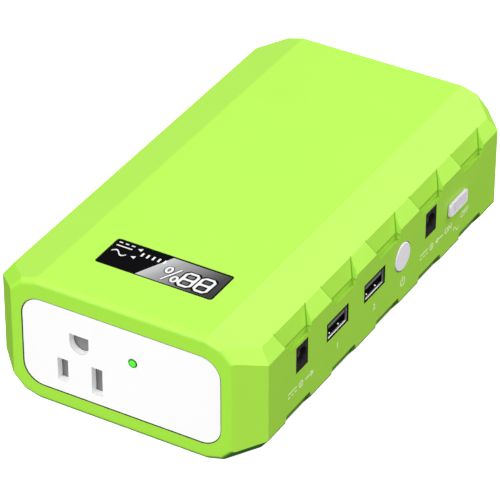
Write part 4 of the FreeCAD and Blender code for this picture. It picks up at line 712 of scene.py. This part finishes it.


# ---------------------------------------------------------------- slide switch
# A ribbed white knob on a stem through the wall, carried by a small steel slide switch. Its top
# is painted a darker grey as painted shade.
knob_white = moulded("knob_white", (0.90, 0.86, 0.92), (0.87, 0.83, 0.89), 0.42, 3000, 0.006)
TOP_PAINTED_SHADE = (0.60, 0.57, 0.61)
TOP_SHADE_BAND = 0.45 * MM
TOP_SHADE_FADE = 3 / MM
_, (x, y, z) = knob_white.place()
knob_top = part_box("ac_switch_knob")[1].z
# the top band of the knob is painted darker as shade
topside = ((z - knob_top + TOP_SHADE_BAND) * TOP_SHADE_FADE).limited()
knob_tone = knob_white.shader.inputs["Base Color"].links[0].from_socket
knob_white.surface(Base_Color=knob_white.blend(topside, knob_tone, TOP_PAINTED_SHADE))
knob_white.on("ac_switch_knob")


# ---------------------------------------------------------------- printed signs on the side
# Pale ink, pad-printed on the wall under each port and switch: plain numbers at the USB ports,
# signs for direct current at the jacks, a power sign, and ON and OFF at the slide switch.
ink = Finish("pale_ink", Roughness=0.6)
ink.surface(Base_Color=ink.blend(ink.grain(2500), (0.74, 0.94, 0.50), (0.82, 0.97, 0.60)))
INK_THICKNESS = 0.02 * MM
side_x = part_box("upper_housing")[1].x
# on the side wall, a sign's right points to +Y and its top to +Z
ON_SIDE = Matrix(((0, 0, 1, side_x + INK_THICKNESS / 2), (1, 0, 0, 0), (0, 1, 0, 0), (0, 0, 0, 1)))
LETTER_SIZE = 3.3 * MM
LETTER_WEIGHT = 0.06 * MM


def lettering(name, words, centre):
    """Printed letters or numbers, centred on a point of the side wall in millimetres."""
    letters = bpy.data.curves.new(name, "FONT")
    letters.body, letters.size = words, LETTER_SIZE
    letters.align_x, letters.align_y = "CENTER", "CENTER"
    letters.extrude, letters.offset = INK_THICKNESS / 2, LETTER_WEIGHT
    at = ON_SIDE @ Matrix.Translation((centre[0] * MM, centre[1] * MM, 0))
    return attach(sign_mesh(name, letters, ink, at), CASE)


def printed(name, outlines):
    """A printed sign on outlines in millimetres along the wall and up it."""
    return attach(flat_sign(name, outlines, ink, ON_SIDE, INK_THICKNESS), CASE)


def middle_of(node):
    """Where a node's middle lies along the side, in millimetres."""
    low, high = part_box(node)
    return (low.y + high.y) / 2 / MM


def arc_stroke(centre, radius, stroke, start, end, steps=28):
    """A thick arc between two angles in degrees."""
    turn = [math.radians(start + (end - start) * i / steps) for i in range(steps + 1)]
    return [(centre[0] + r * math.cos(a), centre[1] + r * math.sin(a))
            for r, line in ((radius + stroke / 2, turn), (radius - stroke / 2, turn[::-1])) for a in line]


SIGN_HEIGHT = 17.75
STROKE = 0.55
for port in (1, 2):
    lettering("port_number_%d" % port, str(port), (middle_of("usb_shell_%d" % port), SIGN_HEIGHT))

ON_BEFORE_KNOB = 5.4
OFF_PAST_KNOB = 6.5
SWITCH_WAVE = (4.2, 1.9)
SWITCH_WAVE_AT = (0.5, -3.15)
knob_middle = middle_of("ac_switch_knob")
lettering("switch_on", "ON", (knob_middle - ON_BEFORE_KNOB, SIGN_HEIGHT))
lettering("switch_off", "OFF", (knob_middle + OFF_PAST_KNOB, SIGN_HEIGHT))
wave_at = (knob_middle + SWITCH_WAVE_AT[0], SIGN_HEIGHT + SWITCH_WAVE_AT[1])
printed("switch_wave", [wave(wave_at, *SWITCH_WAVE, STROKE)])

POWER_RING = 1.45
POWER_GAP = (125, 415)
POWER_AT = (middle_of("power_button") + 0.5, 15.95)
POWER_STROKE_RISE = 1.0
POWER_STROKE_LENGTH = 1.9
printed("power_sign", [arc_stroke(POWER_AT, POWER_RING, STROKE, *POWER_GAP)])
printed("power_stroke", [bar((POWER_AT[0], POWER_AT[1] + POWER_STROKE_RISE), STROKE, POWER_STROKE_LENGTH)])

JACK_SIGN_PITCH = 5.4
JACK_BARS = (5.4, 0.75, 0.5)
JACK_RING = (1.1, 0.45)
JACK_DOT = 0.8
ARROW_TIP = 2.8
ARROW_HEAD = (2.0, 1.2)
ARROW_SHAFT = (3.8, 0.9)


def jack_signs(name, along, leftwards):
    """Direct-current bars, a ring for the jack's centre pin, and an arrow for in or out."""
    way = -1 if leftwards else 1
    printed(name + "_bars", direct_current((along - JACK_SIGN_PITCH, SIGN_HEIGHT), *JACK_BARS))
    printed(name + "_ring", [arc_stroke((along, SIGN_HEIGHT), *JACK_RING, 0, 359.9)])
    printed(name + "_dot", [oval((along, SIGN_HEIGHT), JACK_DOT, JACK_DOT)])
    arrow = along + JACK_SIGN_PITCH
    tip = arrow + way * ARROW_TIP
    head_back = tip - way * ARROW_HEAD[0]
    head = [(tip, SIGN_HEIGHT), (head_back, SIGN_HEIGHT + ARROW_HEAD[1]),
            (head_back, SIGN_HEIGHT - ARROW_HEAD[1])]
    shaft_length, shaft_back = ARROW_SHAFT
    printed(name + "_shaft", [bar((arrow - way * shaft_back, SIGN_HEIGHT), shaft_length, STROKE)])
    printed(name + "_head", [head])


jack_signs("output_sign", middle_of("output_jack") - 0.5, False)
jack_signs("input_sign", middle_of("input_jack") + 1.1, True)


# ---------------------------------------------------------------- gap shade rings
# Thin near-black rings that stand in for the shade in the gaps, as painted shade: one pressed into
# the gap round the outlet panel, and a flat one in front of each USB shell's edge that closes the gap round
# it.
gap_shade_black = Finish("gap_shade_black", Roughness=0.8, Specular_IOR_Level=0.1)
gap_shade_black.surface(Base_Color=gap_shade_black.blend(gap_shade_black.grain(700), (0.008, 0.010, 0.008),
                                                 (0.003, 0.004, 0.003)))
gap_shade_black.relief(gap_shade_black.grain(1500), 0.01 * MM, 0.3)
PANEL_CORNER = 7.2
PANEL_GAP_SHADE = (0.03, 0.27)
PANEL_GAP_SHADE_SETBACK = 0.1
PANEL_GAP_SHADE_DEPTH = 0.8
PANEL_FLANGE = 1.5
PORT_CORNER = 0.4
PORT_GAP_SHADE = (-0.34, 0.38)
PORT_GAP_SHADE_SETBACK = 0.02
PORT_GAP_SHADE_DEPTH = 0.16


def rounded(low, high, radius, steps=12):
    """The points of a rectangle with round corners, from two of its corners."""
    points = []
    left, right, bottom, top = low[0] + radius, high[0] - radius, low[1] + radius, high[1] - radius
    for cx, cy, start in ((right, top, 0), (left, top, 90), (left, bottom, 180), (right, bottom, 270)):
        for i in range(steps + 1):
            angle = math.radians(start + 90 * i / steps)
            points.append((cx + radius * math.cos(angle), cy + radius * math.sin(angle)))
    return points


def seal(name, low, high, radius, reach, place, depth):
    """A flat ring from reach[0] to reach[1] outside a rounded rectangle, all in millimetres."""
    rings = [rounded((low[0] - r, low[1] - r), (high[0] + r, high[1] + r), radius + r) for r in reach]
    ring = flat_sign(name, rings, gap_shade_black, place, depth * MM)
    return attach(ring, CASE)


front_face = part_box("upper_housing")[0].y + (PANEL_GAP_SHADE_SETBACK + PANEL_GAP_SHADE_DEPTH / 2) * MM
# on the front, a ring's right points to +X and its top to +Z
ON_FRONT = Matrix(((1, 0, 0, 0), (0, 0, -1, front_face), (0, 1, 0, 0), (0, 0, 0, 1)))
IN_SIDE = Matrix(((0, 0, 1, side_x - (PORT_GAP_SHADE_SETBACK + PORT_GAP_SHADE_DEPTH / 2) * MM),
                  (1, 0, 0, 0), (0, 1, 0, 0), (0, 0, 0, 1)))
panel_low, panel_high = (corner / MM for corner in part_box("outlet_panel"))
# near-black rings in the gaps, standing in for the shade there
seal("panel_gap_shade", (panel_low.x + PANEL_FLANGE, panel_low.z + PANEL_FLANGE),
     (panel_high.x - PANEL_FLANGE, panel_high.z - PANEL_FLANGE),
     PANEL_CORNER, PANEL_GAP_SHADE, ON_FRONT, PANEL_GAP_SHADE_DEPTH)
for port in (1, 2):
    shell_low, shell_high = (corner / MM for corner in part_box("usb_shell_%d" % port))
    seal("port_gap_shade_%d" % port, (shell_low.y, shell_low.z), (shell_high.y, shell_high.z), PORT_CORNER,
         PORT_GAP_SHADE, IN_SIDE, PORT_GAP_SHADE_DEPTH)


# ---------------------------------------------------------------- circuit boards
# Glass-fibre boards with paler copper lanes under a green lacquer. Short screws hold them to
# posts in the housing.
LANES = 260
LANE_STRETCH = 0.12
board_green = Finish("board_green", Roughness=0.35, IOR=1.5)
lengthways = board_green.grain(LANES, 0.0, (1, LANE_STRETCH, 1)) > 0.56
crossways = board_green.grain(LANES, 0.0, (LANE_STRETCH, 1, 1)) > 0.60
lanes = lengthways + crossways
board_green.surface(Base_Color=board_green.blend(lanes, (0.022, 0.150, 0.055), (0.040, 0.225, 0.085)))
board_green.relief(lanes, 0.03 * MM, 0.6)
board_green.on("inverter_board", "port_board", "display_board", "indicator_board", "battery_board")


# ---------------------------------------------------------------- inverter parts
# A ferrite transformer with a copper coil, sleeved capacitors, a finned sink, a ring choke and
# a fuse, all standing on the large board.
ferrite = moulded("ferrite", (0.055, 0.055, 0.060), (0.038, 0.038, 0.042), 0.62, 900, 0.03)
ferrite.on("transformer_core", "output_choke")
WIRE = 0.8 * MM
copper = Finish("enamelled_copper", Metallic=0.9)
_, (x, y, z) = copper.place()
turns = (z * (2 * math.pi / WIRE)).sine() * 0.5 + 0.5
copper.surface(Base_Color=copper.blend(turns, (0.30, 0.09, 0.035), (0.72, 0.30, 0.12)),
               Roughness=0.24 + 0.1 * turns)
copper.relief(turns, 0.2 * MM, 0.8)
copper.on("transformer_winding")
sink_aluminium = metal("extruded_aluminium", (0.72, 0.73, 0.74), (0.60, 0.61, 0.62), 0.38, (1, 1, 0.08))
sink_aluminium.on("heat_sink")
can_sleeve = moulded("capacitor_sleeve", (0.030, 0.045, 0.120), (0.022, 0.034, 0.090), 0.3)
can_sleeve.on("filter_capacitors")
fuse_glass = moulded("fuse_ceramic", (0.72, 0.70, 0.65), (0.66, 0.64, 0.60), 0.4)
fuse_glass.on("fuse_link")


# ---------------------------------------------------------------- battery pack
# Six cells in shrink sleeves between two moulded holders, joined by spot-welded nickel strips
# and held between foam pads.
sleeve = moulded("cell_sleeve", (0.055, 0.190, 0.460), (0.045, 0.160, 0.400), 0.32)
sleeve.on(*("cell_%d" % number for number in range(1, 7)))
nickel = metal("nickel_strip", (0.66, 0.64, 0.58), (0.54, 0.52, 0.47), 0.32, (0.1, 1, 1))
nickel.on("nickel_strips")
foam = moulded("foam_pad", (0.050, 0.050, 0.053), (0.030, 0.030, 0.032), 0.95, 1100, 0.25)
foam.on("battery_pads")


# ---------------------------------------------------------------- leads
# Silicone-sleeved leads between the outlet, the inverter board and the cells, and the flat cable
# of the display.
lead_red = moulded("lead_red", (0.42, 0.015, 0.012), (0.34, 0.012, 0.010), 0.5)
lead_red.on("battery_leads")
lead_black = moulded("lead_black", (0.018, 0.018, 0.019), (0.012, 0.012, 0.013), 0.5)
lead_black.on("outlet_leads", "display_ribbon")


# ---------------------------------------------------------------- floor, light and camera
# A pale floor that gives no light back, three soft boxes round the object, a white sky that is
# dim below the horizon, and a long lens.
FLOOR_HALF = 6.0
floor_corners = [(sx * FLOOR_HALF, sy * FLOOR_HALF, 0.0) for sx, sy in ((-1, -1), (1, -1), (1, 1), (-1, 1))]
floor_mesh = bpy.data.meshes.new("floor")
floor_mesh.from_pydata(floor_corners, [], [(0, 1, 2, 3)])
floor = bpy.data.objects.new("floor", floor_mesh)
bpy.context.collection.objects.link(floor)
pale = Finish("pale_floor", Roughness=0.9, Emission_Strength=0.75)
clouds = pale.grain(3)
pale.surface(Base_Color=pale.blend(clouds, (0.86, 0.86, 0.86), (0.88, 0.88, 0.88)),
             Emission_Color=pale.blend(clouds, (0.98, 0.98, 0.98), (1.0, 1.0, 1.0)))
floor_mesh.materials.append(pale.material)
floor.visible_diffuse = False
floor.visible_glossy = False

SKY_STRENGTH = 0.527
FROM_BELOW = 0.15
scene = bpy.context.scene
scene.view_settings.view_transform = "Standard"
world = bpy.data.worlds.new("studio")
world.use_nodes = True
sky = world.node_tree
sky.nodes["Background"].inputs["Strength"].default_value = SKY_STRENGTH
height = sky.nodes.new("ShaderNodeSeparateXYZ")
sky.links.new(sky.nodes.new("ShaderNodeTexCoord").outputs["Generated"], height.inputs[0])
above = Term(sky, height.outputs[2]) > 0.0
sky.links.new((FROM_BELOW + (1 - FROM_BELOW) * above).socket, sky.nodes["Background"].inputs["Color"])
scene.world = world


def soft_light(name, direction, distance, size, share):
    """A square soft light that gives a white surface facing it this share of full brightness."""
    lamp = bpy.data.lights.new(name, "AREA")
    lamp.shape, lamp.size = "SQUARE", size
    lamp.energy = share * math.pi ** 2 * distance ** 2
    towards = Vector(direction).normalized()
    light = bpy.data.objects.new(name, lamp)
    light.location = towards * distance
    light.rotation_mode = "QUATERNION"
    light.rotation_quaternion = towards.to_track_quat("Z", "Y")
    bpy.context.collection.objects.link(light)


soft_light("rear_right", (0.45, 0.75, 1.1), 1.8, 1.5, 0.661)
soft_light("front", (-0.15, -1.0, 0.45), 1.8, 1.4, 1.007)
soft_light("right", (1.0, -0.1, 0.45), 1.8, 1.4, 0.374)

CAMERA_PLACE = (0.44322, -0.76797, 0.62686)
CAMERA_WAY = (-0.41417, 0.71258, -0.56629)
CAMERA_ROLL = 0.10
CAMERA_LENS = 234.2
CAMERA_SENSOR = 36.0
camera = bpy.data.objects.new("camera", bpy.data.cameras.new("camera"))
camera.data.sensor_width = CAMERA_SENSOR
camera.data.lens = CAMERA_LENS
camera.location = CAMERA_PLACE
camera.rotation_mode = "QUATERNION"
camera.rotation_quaternion = (Vector(CAMERA_WAY).to_track_quat("-Z", "Y")
                              @ Matrix.Rotation(math.radians(CAMERA_ROLL), 4, "Z").to_quaternion())
camera.data.clip_start, camera.data.clip_end = 0.05, 50.0
bpy.context.collection.objects.link(camera)
scene.camera = camera
